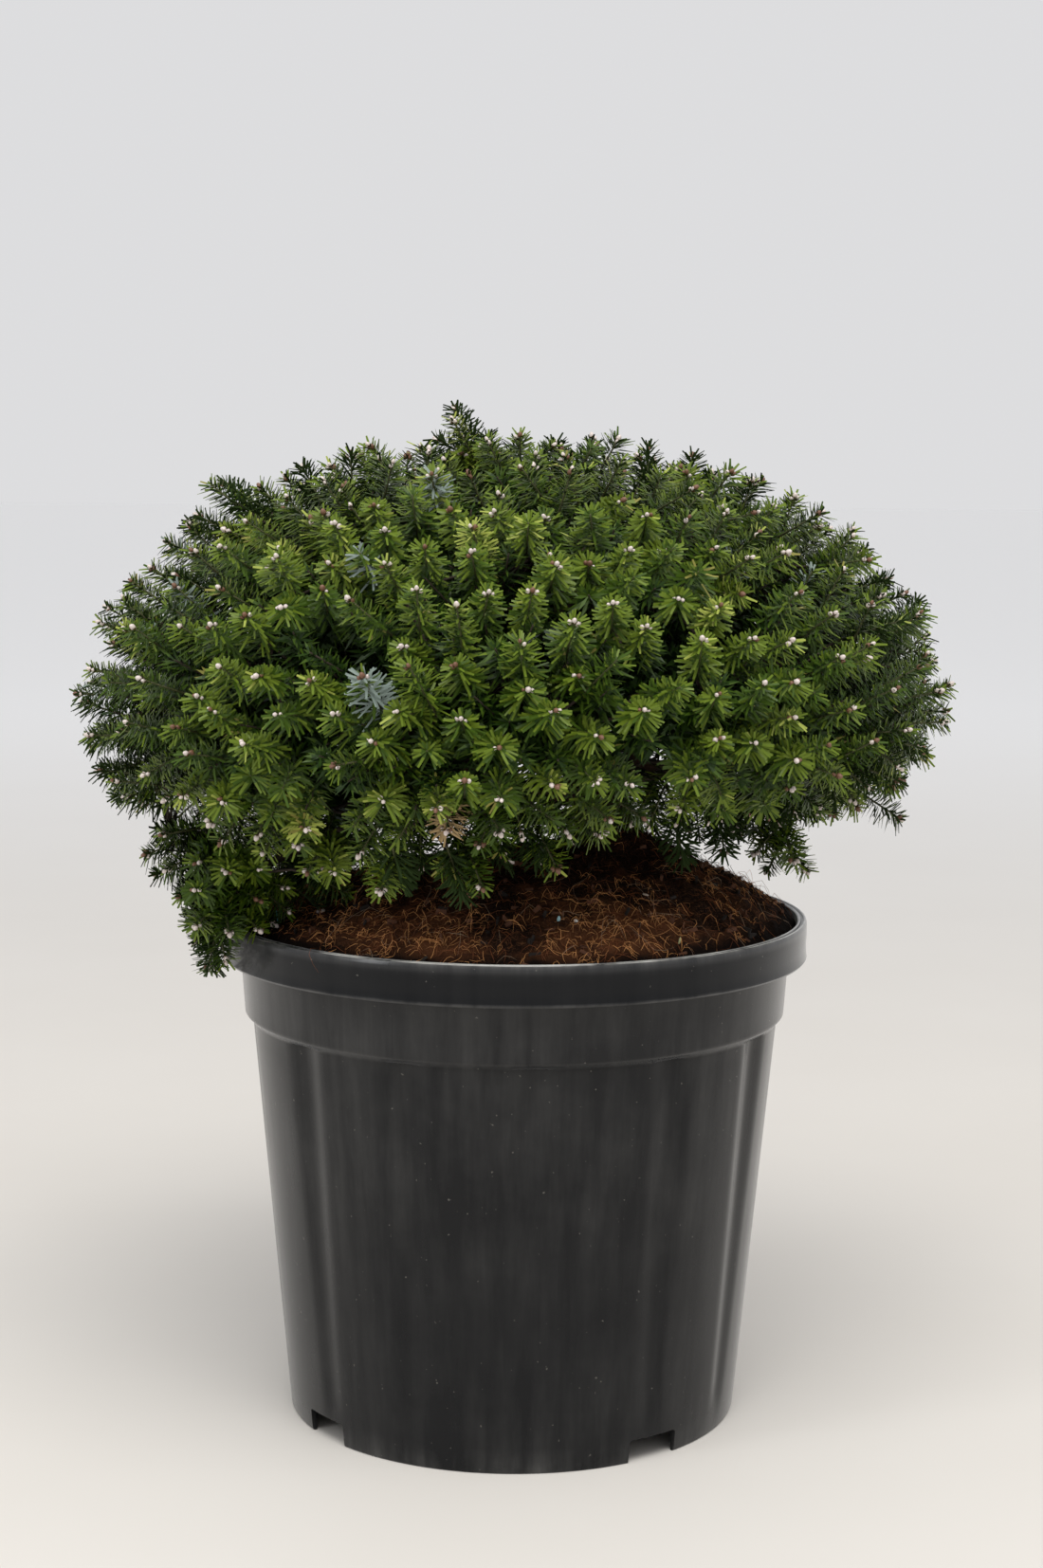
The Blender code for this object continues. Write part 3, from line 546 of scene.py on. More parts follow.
# %% A layer of shoots
def grow_layer(layer):
    """Tip, direction, owner and length of every shoot in a layer."""
    tips, normals, owners = [], [], []
    shallow, deepest = layer["depth"]
    for owner, mass in enumerate(masses):
        weeping = mass["name"] == "weeping"
        ways = dice.normal(size=(TRIES, 3))
        ways /= np.linalg.norm(ways, axis=1)[:, None]
        reach = skin_along(middles[owner], ways)
        skin = middles[owner] + ways * reach[:, None]
        nearest = np.argmin(np.linalg.norm(skin[:, None] - middles, axis=2), axis=1)
        out_of_stem = ways @ np.array(mass["arrive"]) > STEM_CONE
        keep = (nearest == owner) & (reach < REACH_MOST) & out_of_stem
        depth = (shallow + (deepest - shallow) * relief(skin)) * (WEEPING_DEPTH if weeping else 1.0)
        normal = unit((skin[keep] - LOBE_MIDDLE) / LOBE_SIZE ** 2) if weeping else skin_normal(skin[keep])
        depth = depth[keep] * (1 - UNDER_DEPTH * np.maximum(0, -normal[:, 2]))
        tips.append(skin[keep] - normal * depth[:, None])
        normals.append(unit(normal + FAN * unit(skin[keep] - middles[owner])))
        owners.append(np.full(keep.sum(), owner))
    tips, normals, owners = (np.concatenate(rows) for rows in (tips, normals, owners))
    deep = plant_level(tips, -DEEP_SHARE * max(0.0, shallow)) < 1
    tips, normals, owners = tips[deep], normals[deep], owners[deep]
    taken = []
    for at in dice.permutation(len(tips)):
        near = layer["spacing"] * (WEEPING_SPACING if masses[owners[at]]["name"] == "weeping" else 1.0)
        if not taken or np.linalg.norm(tips[taken] - tips[at], axis=1).min() > near:
            taken.append(at)
    tips, normals, owners = tips[taken], normals[taken], owners[taken]
    along = normals * (1.0, 1.0, SQUAT) + dice.normal(scale=WOBBLE, size=tips.shape)
    along[:, 2] += np.interp(tips[:, 2], *LIFTS)
    along /= np.linalg.norm(along, axis=1)[:, None]
    length = layer["length"] * dice.uniform(*LENGTH_SPREAD, size=len(tips))
    length = np.minimum(length, LENGTH_MOST * np.linalg.norm(tips - middles[owners], axis=1))
    fed = plant_level(tips - along * length[:, None]) < FED_INSIDE
    return {"tip": tips[fed], "along": along[fed], "owner": owners[fed], "length": length[fed]}


# %% Grow the layers
layers = [grow_layer(layer) for layer in LAYERS]
fill = {"tip": FILLERS, "along": unit(np.tile(FILLER_WAY, (len(FILLERS), 1))),
        "owner": np.linalg.norm(FILLERS[:, None] - middles, axis=2).argmin(axis=1),
        "length": np.full(len(FILLERS), FILLER_LENGTH)}
layers[-1] = {name: np.concatenate([row, fill[name]]) for name, row in layers[-1].items()}
print("shoots in each layer:", [len(shoots["tip"]) for shoots in layers])

# %% [markdown]
# ## Needles
# A needle is a flat blade with a blunt end: one corner at its seat, three at its widest, two at
# its end. The upper face looks towards the shoot's tip and is glossy green, and the two lower
# faces are a dull grey green. Flat cards would be lighter, but these closed blades catch the light
# as real ones do and hold up from every side. Needles sit in the golden-angle spiral, stand out
# near the shoot's foot and lean forwards near its bud. On a level shoot the lower ones are combed
# out to the sides. A mass's needles are one mesh, because a hundred thousand objects would be slow.

# %% Seats and directions of the needles
GOLDEN = math.pi * (3 - math.sqrt(5))
NEEDLE_WIDTHS = 0.00145, 0.0019
BARE_FOOT, CROWDING = 0.05, 0.86  # share of the shoot without needles, and how they crowd its bud
COMB, LIGHTWARD = 0.12, 0.02  # how far needles are combed off the underside, and turn to the light
LEAN, LEAN_LESS, LEAN_POWER = 82, 28, 2.2  # degrees off the shoot at its foot, and how much less at the bud
SPIN_DICE, LEAN_DICE, TWIST_DICE = 0.16, 0.10, 0.22
SIZE_EVEN, SIZE_SWELL, SIZE_POWER = 0.72, 0.34, 0.75  # needles are longest near the shoot's middle
SIZE_NEEDLE, SIZE_SHOOT, UPPER_SHORT = (0.88, 1.10), (0.82, 1.12), 0.30  # and shorter on its upper side
TRUNK_ROOM_X, TRUNK_ROOM = 0.04, 0.016


def needles_of(shoots, layer):
    """A row for each needle: its seat, direction, upper side, size, width, bend, and whose it is."""
    count, n = len(shoots["tip"]), layer["needles"]
    along, length = shoots["along"], shoots["length"]
    up = np.array((0.0, 0.0, 1.0))
    over = unit(up - along * along[:, 2:3] + dice.normal(scale=0.02, size=along.shape))
    side = np.cross(along, over)
    level = 1 - along[:, 2:3] ** 2
    share = BARE_FOOT + (1 - BARE_FOOT) * ((np.arange(n) + 0.5) / n) ** CROWDING
    spin = np.arange(n) * GOLDEN + dice.uniform(0, math.tau, size=(count, 1))
    spin = spin + dice.normal(scale=SPIN_DICE, size=(count, n))
    spin = (spin + math.pi) % math.tau - math.pi
    spin = spin * (1 - COMB * level * np.abs(spin) / math.pi)
    lean = np.radians(LEAN - LEAN_LESS * share ** LEAN_POWER) + dice.normal(scale=LEAN_DICE, size=(count, n))
    round_axis = (np.cos(spin)[..., None] * over[:, None] + np.sin(spin)[..., None] * side[:, None])
    axis = along[:, None]
    way = np.cos(lean)[..., None] * axis + np.sin(lean)[..., None] * round_axis
    way = unit(way + LIGHTWARD * up)
    upper = np.sin(lean)[..., None] * axis - np.cos(lean)[..., None] * round_axis
    upper = unit(upper - (upper * way).sum(-1, keepdims=True) * way)
    twist = dice.normal(scale=TWIST_DICE, size=(count, n, 1))
    upper = unit(upper * np.cos(twist) + np.cross(way, upper) * np.sin(twist))
    seat = shoots["tip"][:, None] - axis * (length[:, None] * (1 - share))[..., None]
    size = layer["long"] * (SIZE_EVEN + SIZE_SWELL * np.sin(math.pi * share ** SIZE_POWER))
    size = size * dice.uniform(*SIZE_NEEDLE, (count, n)) * dice.uniform(*SIZE_SHOOT, size=(count, 1))
    size *= 1.04 - UPPER_SHORT * np.cos(spin) * level
    width = layer["wide"] * dice.uniform(*NEEDLE_WIDTHS, size=(count, n))
    bend = dice.normal(loc=0.05, scale=0.06, size=(count, n))
    rows = {"seat": seat, "way": way, "upper": upper, "size": size, "width": width, "bend": bend,
            "share": np.broadcast_to(share, (count, n)),
            "shoot": np.broadcast_to(np.arange(count)[:, None], (count, n)),
            "owner": np.broadcast_to(shoots["owner"][:, None], (count, n))}
    return {name: np.ascontiguousarray(row).reshape(count * n, *row.shape[2:]) for name, row in rows.items()}


# %% Keep the needles out of the pot
def mound(points):
    """Height of the soil under each point; the mound leans towards the trunk."""
    lean_x = TRUNK_X / SOIL_R
    x, y = points[..., 0] - TRUNK_X, points[..., 1]
    root = np.sqrt((lean_x * x) ** 2 + (1 - lean_x ** 2) * (x ** 2 + y ** 2))
    radius = np.clip((lean_x * x + root) / (1 - lean_x ** 2), 0, SOIL_R)
    height = SOIL_EDGE + (SOIL_PEAK - SOIL_EDGE) * (1 - (radius / SOIL_R) ** MOUND_POWER)
    return np.where(radius < FOOT_PLATE_R, SOIL_PEAK, height)


def clear_of_pot(needles):
    """Keeps the needles whose ends stay in the crown and out of the soil, the pot and the trunk."""
    end = needles["seat"] + needles["way"] * needles["size"][:, None]
    radius = np.hypot(end[:, 0], end[:, 1])
    in_soil = (radius < LIP_R) & (end[:, 2] < mound(end) + 0.002)
    in_pot = (radius < RIM_R + 0.001) & (radius > LIP_R - 0.001) & (end[:, 2] < RIM_TOP + 0.0015)
    in_trunk = np.hypot(end[:, 0] - TRUNK_ROOM_X, end[:, 1]) < TRUNK_ROOM
    keep = ~(in_soil | in_pot | in_trunk) & (plant_level(end, 0.012) < 1)
    return {name: row[keep] for name, row in needles.items()}


needle_rows = [clear_of_pot(needles_of(shoots, layer)) for shoots, layer in zip(layers, LAYERS)]
print("needles in each layer:", [len(rows["seat"]) for rows in needle_rows])

# %% [markdown]
# How much light a needle gets decides its green. It is brighter on top of the crown, near the bud
# and on the needle's outer half, and darker in the deeper layers. A few shoots carry blue or gold
# needles, one shows its silvery undersides, and one is dead and tan. A colour for each triangle
# does this with nine plain finishes, where a picture would need a map of every needle.

# %% Needle colours
GREENS = {  # five greens of painted light and shade, from the darkest to the brightest, then the odd ones
    "needle_dark": (0.004, 0.011, 0.0015), "needle_deep": (0.014, 0.036, 0.002),
    "needle_leaf": (0.041, 0.078, 0.005), "needle_lit": (0.108, 0.158, 0.013),
    "needle_bright": (0.290, 0.335, 0.062), "needle_blue": (0.185, 0.230, 0.200),
    "needle_gold": (0.215, 0.200, 0.045), "needle_under": (0.032, 0.054, 0.016),
    "needle_tan": (0.33, 0.23, 0.11)}
needle_finishes = []
for name, colour in GREENS.items():
    dull = name in ("needle_dark", "needle_under")
    needle_finishes.append(new_finish(name, colour, 0.62 if dull else 0.38,
                                      Specular_IOR_Level=0.05 if dull else 0.19)[0])
DARK, DEEP, LEAF, LIT, BRIGHT, BLUE, GOLD, UNDER, TAN = range(9)
SILVER_SPOT, DEAD_SPOT = (-0.070, -0.188, 0.412), (-0.037, -0.158, 0.350)
LIGHT, LIGHT_BUD, LIGHT_MOOD, LIGHT_RISE, LIGHT_LAYER = 2.0, 0.75, 0.32, 1.3, 0.95  # in steps of green
LIGHT_LEVEL, LIGHT_DICE, OUTER_LIGHT = 0.42, 0.30, 0.65
BLUE_SHOOTS, BLUE_NEEDLES, SILVER_NEEDLES = 0.04, 0.30, 0.7
GOLD_SHOOTS, GOLD_FROM, GOLD_NEEDLES, DEAD_FROM = 0.93, 0.80, 0.22, 0.45
print("needle finishes:", len(needle_finishes))


def needle_tones(rows, layer_number, shoots):
    """Colours of each needle's upper side, near the twig and on its outer half."""
    count = len(shoots["tip"])
    mood = dice.normal(size=count)[rows["shoot"]]
    height = shoots["tip"][rows["shoot"], 2]
    light = (LIGHT + LIGHT_BUD * rows["share"] + LIGHT_MOOD * mood + LIGHT_RISE * (height - LIGHT_LEVEL)
             - LIGHT_LAYER * layer_number)
    light += dice.normal(scale=LIGHT_DICE, size=len(light))
    inner = np.clip(np.floor(light), DARK, LIT)
    outer = np.clip(np.floor(light + OUTER_LIGHT), DEEP, BRIGHT)
    odd = dice.uniform(size=count)[rows["shoot"]]
    blue = (odd < BLUE_SHOOTS) & (dice.uniform(size=len(light)) < BLUE_NEEDLES)
    if layer_number == 0:
        silver, dead = (np.linalg.norm(shoots["tip"] - spot, axis=1).argmin()
                        for spot in (SILVER_SPOT, DEAD_SPOT))
        blue |= (rows["shoot"] == silver) & (dice.uniform(size=len(light)) < SILVER_NEEDLES)
        tan = (rows["shoot"] == dead) & (rows["share"] > DEAD_FROM)
        inner, outer = np.where(tan, TAN, inner), np.where(tan, TAN, outer)
    inner, outer = np.where(blue, BLUE, inner), np.where(blue, BLUE, outer)
    gold = (odd > GOLD_SHOOTS) & (rows["share"] > GOLD_FROM) & (dice.uniform(size=len(inner)) < GOLD_NEEDLES)
    return np.where(gold, LEAF, inner), np.where(gold, GOLD, outer)


# %% Meshes from arrays
def mesh_piece(name, parts, finishes, smooth=False):
    """One joined mesh. A part is corners, triangles, and a finish for all of them or one for each."""
    starts = np.cumsum([0] + [len(part[0]) for part in parts])
    corners = np.concatenate([part[0] for part in parts])
    faces = np.concatenate([part[1] + start for part, start in zip(parts, starts)])
    tones = np.concatenate([np.broadcast_to(part[2], len(part[1])) for part in parts])
    mesh = bpy.data.meshes.new(name)
    mesh.vertices.add(len(corners))
    mesh.vertices.foreach_set("co", corners.astype(np.float32).ravel())
    mesh.loops.add(faces.size)
    mesh.loops.foreach_set("vertex_index", faces.astype(np.int32).ravel())
    mesh.polygons.add(len(faces))
    mesh.polygons.foreach_set("loop_start", np.arange(0, faces.size, 3, dtype=np.int32))
    mesh.polygons.foreach_set("material_index", tones.astype(np.int32))
    mesh.polygons.foreach_set("use_smooth", np.full(len(faces), smooth))
    mesh.update(calc_edges=True)
    for finish in finishes:
        mesh.materials.append(finish)
    piece = bpy.data.objects.new(name, mesh)
    scene.collection.objects.link(piece)
    return piece


def repeated(count, corners_each, shape):
    """The triangles of one shape, again for each of its copies."""
    return (np.arange(count)[:, None, None] * corners_each + shape[None]).reshape(-1, 3)


# %% Shape of a needle
BLUNT = np.array([(0, 1, 2), (0, 2, 3), (0, 3, 1), (1, 4, 5), (1, 5, 2), (2, 5, 3), (3, 4, 1), (3, 5, 4)])
POINTED = np.array([(0, 1, 2), (0, 2, 3), (0, 3, 1), (1, 4, 2), (2, 4, 3), (3, 4, 1)])
# which colour each triangle takes: 0 the upper side near the twig, 1 its outer half, 2 beneath
BLUNT_SIDES, POINTED_SIDES = np.array([0, 2, 2, 1, 1, 2, 2, 2]), np.array([0, 2, 2, 1, 2, 2])
SECTION = np.array([(0.5, 0.0), (-0.5, 0.0), (0.0, -0.30)])  # right, left and keel, in widths
# each ring's place along the needle, share of the width, share of the bend, and number of corners
BLUNT_RINGS, POINTED_RINGS = [(0.42, 1.0, 0.18, 3), (1.0, 0.74, 1.0, 2)], [(0.5, 1.0, 0.25, 3)]


def needle_mesh(rows, inner, outer, blunt):
    """Corners, triangles and colours of many needles: a seat, then rings of the section."""
    way, upper = rows["way"][:, None], rows["upper"][:, None]
    across = np.cross(way, upper)
    size, width = rows["size"][:, None, None], rows["width"][:, None, None]
    bend = rows["bend"][:, None, None]
    corner = SECTION[None]
    rings = BLUNT_RINGS if blunt else POINTED_RINGS
    parts = [rows["seat"][:, None]]
    for reach, share, droop, ends in rings:
        middle = rows["seat"][:, None] + way * size * reach - upper * size * bend * droop
        parts.append(middle + across * width * share * corner[:, :ends, 0:1]
                     + upper * width * share * corner[:, :ends, 1:2])
    if not blunt:
        parts.append(rows["seat"][:, None] + way * size - upper * size * bend)
    corners = np.concatenate(parts, axis=1)
    shape, sides = (BLUNT, BLUNT_SIDES) if blunt else (POINTED, POINTED_SIDES)
    shades = np.stack([inner, outer, np.full(len(inner), UNDER)], axis=1)[:, sides].ravel()
    return corners.reshape(-1, 3), repeated(len(corners), corners.shape[1], shape), shades


# %% Grow the needles
all_tones = [needle_tones(rows, number, shoots)
             for number, (rows, shoots) in enumerate(zip(needle_rows, layers))]
total = 0
for owner, mass in enumerate(masses):
    parts = []
    for number, (rows, (inner, outer)) in enumerate(zip(needle_rows, all_tones)):
        mine = rows["owner"] == owner
        parts.append(needle_mesh({name: row[mine] for name, row in rows.items()}, inner[mine], outer[mine],
                                 blunt=number == 0))
    piece = mesh_piece("needles_" + mass["name"], parts, needle_finishes)
    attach(piece, "root")
    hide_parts("foliage_" + mass["name"])
    total += len(piece.data.polygons)
print("needles:", total, "triangles")

# %% [markdown]
# ## Twigs and buds
# Every shoot is fed by a twig that leaves a hub between its mass's middle and the skin, so the
# branching is coarse inside and fine outside. Wood a millimetre thick needs no more than tubes with
# three sides. This year's wood is green and the older wood brown. One to three buds sit on the
# ends of most outer shoots, most of them coated in pale resin over a brown base.

# %% Tubes along many paths
def tubes(paths, radii, sides):
    """Corners and triangles of tapering tubes along paths of equal point count, closed at both ends."""
    paths, radii = np.asarray(paths), np.asarray(radii)
    count, points = paths.shape[:2]
    tangent = unit(np.gradient(paths, axis=1))
    mean = unit(paths[:, -1] - paths[:, 0])
    helper = np.where(np.abs(mean[:, 2:3]) > 0.8, np.array((1.0, 0.1, 0.0)), np.array((0.0, 0.1, 1.0)))
    first = unit(np.cross(tangent, helper[:, None]))
    second = np.cross(tangent, first)
    turn = np.arange(sides) * math.tau / sides
    ring = (np.cos(turn)[None, None, :, None] * first[:, :, None]
            + np.sin(turn)[None, None, :, None] * second[:, :, None])
    corners = paths[:, :, None] + ring * radii[:, :, None, None]
    a = np.arange(points - 1)[:, None] * sides + np.arange(sides)[None]
    b = np.arange(points - 1)[:, None] * sides + (np.arange(sides)[None] + 1) % sides
    wall = np.concatenate([np.stack([a, b, b + sides], axis=-1).reshape(-1, 3),
                           np.stack([a, b + sides, a + sides], axis=-1).reshape(-1, 3)])
    fan = np.array([(0, i, i + 1) for i in range(1, sides - 1)])
    shape = np.concatenate([wall, fan[:, ::-1], fan + (points - 1) * sides])
    return corners.reshape(-1, 3), repeated(count, points * sides, shape)


def twigs_along(start, bend_a, bend_b, end, points, ends_thick, wood):
    """Smooth curves from starts to ends as tubes that taper, with the finish they take."""
    t = np.linspace(0, 1, points)[None, :, None]
    start, bend_a, bend_b, end = (np.asarray(row)[:, None] for row in (start, bend_a, bend_b, end))
    paths = (start * (1 - t) ** 3 + bend_a * 3 * t * (1 - t) ** 2 + bend_b * 3 * t ** 2 * (1 - t)
             + end * t ** 3)
    return (*tubes(paths, np.tile(np.linspace(*ends_thick, points), (len(paths), 1)), 3), wood)


# %% Grow the twigs
NEW, OLD = 0, 1
wood_finishes = [new_finish("new_wood", (0.070, 0.074, 0.022), 0.7)[0],
                 new_finish("old_wood", (0.040, 0.026, 0.017), 0.85)[0]]
HUB_EVERY, HUB_SHARE = 4, 0.45  # every fourth shoot has a hub, and how far out it lies
# radii at both ends of the wood into a mass, to a hub, to a shoot's foot, and of the shoot
STEM, LIMB, TWIG, SHOOT = (0.0030, 0.0019), (0.0017, 0.0012), (0.0011, 0.0009), (0.0008, 0.0005)
skin_shoots = layers[0]
parts = []
for owner, mass in enumerate(masses):
    middle = middles[owner]
    stem = np.array([mass["tip"]])
    parts.append(twigs_along(stem, stem + np.array(mass["arrive"]) * 0.01, [middle], [middle],
                             6, STEM, OLD))
    mine = np.flatnonzero(skin_shoots["owner"] == owner)
    if len(mine) == 0:
        continue
    ends = middle + (skin_shoots["tip"][mine[::HUB_EVERY]] - middle) * HUB_SHARE
    hubs = np.concatenate([[middle], ends])
    away = ends - middle
    parts.append(twigs_along(np.repeat([middle], len(ends), 0), middle + away * 0.3 + (0, 0, 0.004),
                             middle + away * 0.7, ends, 6, LIMB, OLD))
    for number, shoots in enumerate(layers):
        mine = np.flatnonzero(shoots["owner"] == owner)
        if len(mine) == 0:
            continue
        tip, along = shoots["tip"][mine], shoots["along"][mine]
        root = tip - along * shoots["length"][mine, None]
        hub = hubs[np.argmin(np.linalg.norm(root[:, None] - hubs, axis=2), axis=1)]
        gap = np.linalg.norm(root - hub, axis=1)[:, None]
        bend = gap * 0.35 * np.clip((unit(root - hub) * along).sum(axis=1)[:, None], 0.1, 1)
        parts.append(twigs_along(hub, hub + unit(root - hub) * gap * 0.4, root - along * bend, root,
                                 5, TWIG, OLD))
        parts.append(twigs_along(root, root + (tip - root) * 0.3, root + (tip - root) * 0.7, tip,
                                 3, SHOOT, NEW if number == 0 else OLD))
twigs = mesh_piece("twigs", parts, wood_finishes, smooth=True)
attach(twigs, "root")
print("twigs:", len(twigs.data.polygons), "faces")

# %% Copies of a small shape
def copies(pattern, pattern_faces, seats, axes, sizes):
    """Corners and triangles of many copies of a small shape, its z laid along each axis."""
    first = unit(np.cross(axes, np.array((0.2, 0.1, 1.0))))
    second = np.cross(axes, first)
    shaped = pattern[None] * sizes[:, None]
    corners = (seats[:, None] + shaped[..., 0:1] * first[:, None] + shaped[..., 1:2] * second[:, None]
               + shaped[..., 2:3] * axes[:, None])
    return corners.reshape(-1, 3), repeated(len(seats), len(pattern), pattern_faces)


# %% Shape of a bud
BUD_LENGTH, BUD_TAPER = 1.3, 0.25  # length in radii, and how much a bud narrows to its tip
bud_finishes = [new_finish("bud_resin", (0.66, 0.57, 0.53), 0.32, Coat_Weight=0.3)[0],
                new_finish("bud_scales", (0.175, 0.085, 0.050), 0.5)[0]]
bpy.ops.object.select_all(action="DESELECT")
bpy.ops.mesh.primitive_uv_sphere_add(segments=6, ring_count=4, radius=1.0)
pattern = bpy.context.object
bpy.ops.object.mode_set(mode="EDIT")
bpy.ops.mesh.select_all(action="SELECT")
bpy.ops.mesh.quads_convert_to_tris()
bpy.ops.object.mode_set(mode="OBJECT")
bud_corners = np.array([vertex.co for vertex in pattern.data.vertices])
bud_corners[:, :2] *= (1 - BUD_TAPER * bud_corners[:, 2:3])
bud_faces = np.array([face.vertices for face in pattern.data.polygons])
bud_heights = np.array([face.center.z for face in pattern.data.polygons])
bpy.data.objects.remove(pattern)
print("a bud:", len(bud_faces), "triangles")

# %% Buds
BUDDING, RESINOUS = 0.86, 0.72  # shares of the shoots with buds, and of the buds with resin
# how far aside and ahead each bud of a shoot sits, its radius, and its chance
BUDS = ((0.0, 0.0016, 0.00135, 1.0), (0.0021, -0.0002, 0.00125, 0.85), (-0.0021, -0.0002, 0.00125, 0.7))
tip, along = skin_shoots["tip"], skin_shoots["along"]
across = unit(np.cross(along, np.array((0.0, 0.0, 1.0)) + dice.normal(scale=0.25, size=tip.shape)))
budding = dice.uniform(size=len(tip)) < BUDDING
seats, axes, sizes = [], [], []
for aside, ahead, size, chance in BUDS:
    has = budding & (dice.uniform(size=len(tip)) < chance)
    seats.append((tip + across * aside + along * ahead)[has])
    axes.append(unit(along + across * aside * 160)[has])
    sizes.append(size * dice.uniform(0.75, 1.2, size=has.sum()))
seats, axes, sizes = np.concatenate(seats), np.concatenate(axes), np.concatenate(sizes)
resinous = dice.uniform(size=len(seats)) < RESINOUS
tones = np.where((bud_heights[None] > -0.35) & resinous[:, None], 0, 1).ravel()
made = copies(bud_corners * (1.0, 1.0, BUD_LENGTH), bud_faces, seats, axes, sizes[:, None])
buds = mesh_piece("buds", [(*made, tones)], bud_finishes, smooth=True)
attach(buds, "root")
print("buds:", len(seats))

# %% [markdown]
# ## Trunk and boughs
# The trunk is short and leans, with a flared foot. Its bark is a ridged skin: a tube of many rings
# whose corners are pushed in and out by stretched noise, so that the relief is real geometry and
# shows on the outline too, where a bump alone would leave it smooth.

# %% Bark relief
ROUND_SCALE, UPRIGHT_SCALE = 2.2, 55  # the noise runs slower up the trunk, which draws the ridges out
CRACK_SCALE, CRACK_UPRIGHT, CRACK_DEPTH = 2.3, 26, 1.4
FLARE_HEIGHT, ROOT_LOBES = 0.016, 4


def barked(path, radii, rings, sides, ridge, flare=0.0):
    """A tube along a way, smoothed through its points, with upright ridges pressed into it."""
    path = np.array(path)
    run = np.concatenate([[0], np.cumsum(np.linalg.norm(np.diff(path, axis=0), axis=1))])
    at = np.linspace(0, run[-1], rings)
    fine = np.stack([np.interp(at, run, path[:, i]) for i in range(3)], axis=1)
    wide = np.interp(at, run, radii)
    for _ in range(6):
        fine[1:-1] = (fine[:-2] + 2 * fine[1:-1] + fine[2:]) / 4
        wide[1:-1] = (wide[:-2] + 2 * wide[1:-1] + wide[2:]) / 4
    corners, faces = tubes(fine[None], wide[None], sides)
    for index, corner in enumerate(corners):
        ring = index // sides
        out = corner - fine[ring]
        x, y = out[0] / wide[ring] * ROUND_SCALE, out[1] / wide[ring] * ROUND_SCALE
        spot = Vector((x, y, at[ring] * UPRIGHT_SCALE + 3.7))
        lumps = noise.fractal(spot, 0.7, 2.0, 4) * ridge
        crack = Vector((spot.x * CRACK_SCALE, spot.y * CRACK_SCALE, at[ring] * CRACK_UPRIGHT))
        cracks = abs(noise.noise(crack)) * -ridge * CRACK_DEPTH
        foot = flare * max(0.0, 1 - at[ring] / FLARE_HEIGHT) ** 2
        lobes = foot * (0.45 + 0.55 * math.sin(math.atan2(out[1], out[0]) * ROOT_LOBES + 0.8))
        corners[index] = fine[ring] + out * (1 + lumps + cracks + lobes)
    return corners, faces, 0


# %% Bark finish
bark, tree, shader = new_finish("fir_bark", (0.03, 0.018, 0.012), 0.9, Specular_IOR_Level=0.1)
place = node(tree, "ShaderNodeTexCoord").outputs["Object"]
patches = speckled(tree, place, 130.0, 6.0, Roughness=0.7)
flakes = node(tree, "ShaderNodeTexVoronoi", Vector=place, Scale=420.0).outputs["Distance"]
hue = ramp(tree, patches, ((0.32, (0.012, 0.007, 0.005)), (0.70, (0.055, 0.032, 0.020))))
ridges = node(tree, "ShaderNodeBump", Height=flakes, Strength=0.5, Distance=0.0006)
wire(tree, shader, Base_Color=hue, Normal=ridges.outputs[0])
print("bark finish:", len(tree.nodes), "nodes")

# %% Grow the bark
BURIED, BURIED_R = Vector((0, 0, 0.004)), 0.0195  # the trunk's foot goes on into the mix
BOUGH_RADII = 0.0046, 0.0028
made = barked([trunk_points[0] - BURIED] + trunk_points, [BURIED_R] + TRUNK_RADII, 90, 32, 0.16, 0.30)
trunk = mesh_piece("trunk_bark", [made], [bark], smooth=True)
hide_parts("trunk")
parts = [barked(way, np.linspace(*BOUGH_RADII, len(way)), 34, 10, 0.13) for way in boughs.values()]
bough_bark = mesh_piece("bough_bark", parts, [bark], smooth=True)
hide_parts(*["bough_" + name for name in boughs])
for piece in (trunk, bough_bark):
    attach(piece, "root")
print("trunk and boughs:", len(trunk.data.polygons) + len(bough_bark.data.polygons), "triangles")

# %% [markdown]
# ## Potting mix
# The mix is peat and coir. A clotted mound fills the pot, made by spinning a closed outline and
# lifting its upper vertices to the mound's height plus a few scales of noise. Its sides stay plain,
# because the pot hides them.

# %% Mound
MOUND_R, MOUND_LOW, MOUND_FLAT, SUNK = 0.1540, 0.258, 0.262, 0.0008
CLOT, LUMPS = 0.0031, ((60, 0.8, 2.0, 0.9), (260, 0.7, 2.1, 0.5))  # scale, roughness, gap and share
BACK_RISE, BACK_TURN = 0.0026, 0.35  # rise along the wall, and how far it is turned off the back
TRENCH, TRENCH_TURN, TRENCH_FROM, TRENCH_WIDE = 0.0022, 0.4, 0.143, 0.011
TRUNK_HEAP, HEAP_R = 0.024, 0.052
outline = [(MOUND_R * i / 64, MOUND_FLAT) for i in range(65)]
outline += [(MOUND_R - 0.001, MOUND_LOW), (0.0, MOUND_LOW)]
soil = spun("potting_mix", outline, 200)


def clots(x, y):
    """Height of the mix's lumps at a point of the mound."""
    spot = Vector((x, y, 0.0))
    return CLOT * sum(noise.fractal(spot * scale, rough, gap, 3) * share
                      for scale, rough, gap, share in LUMPS)


def heap(x, y):
    """Extra height: raised along the wall at the back, dug out along it in front, heaped at the trunk."""
    turn, radius = math.atan2(x, -y), math.hypot(x, y)
    lift = BACK_RISE * (0.45 - 0.55 * math.cos(turn - BACK_TURN)) * (radius / MOUND_R) ** 6
    dug = max(0.0, (radius - TRENCH_FROM) / TRENCH_WIDE) ** 1.5
    trench = TRENCH * (0.5 + 0.5 * math.cos(turn + TRENCH_TURN)) * dug
    return lift - trench + TRUNK_HEAP * max(0.0, 1 - math.hypot(x - TRUNK_X, y) / HEAP_R) ** 1.6


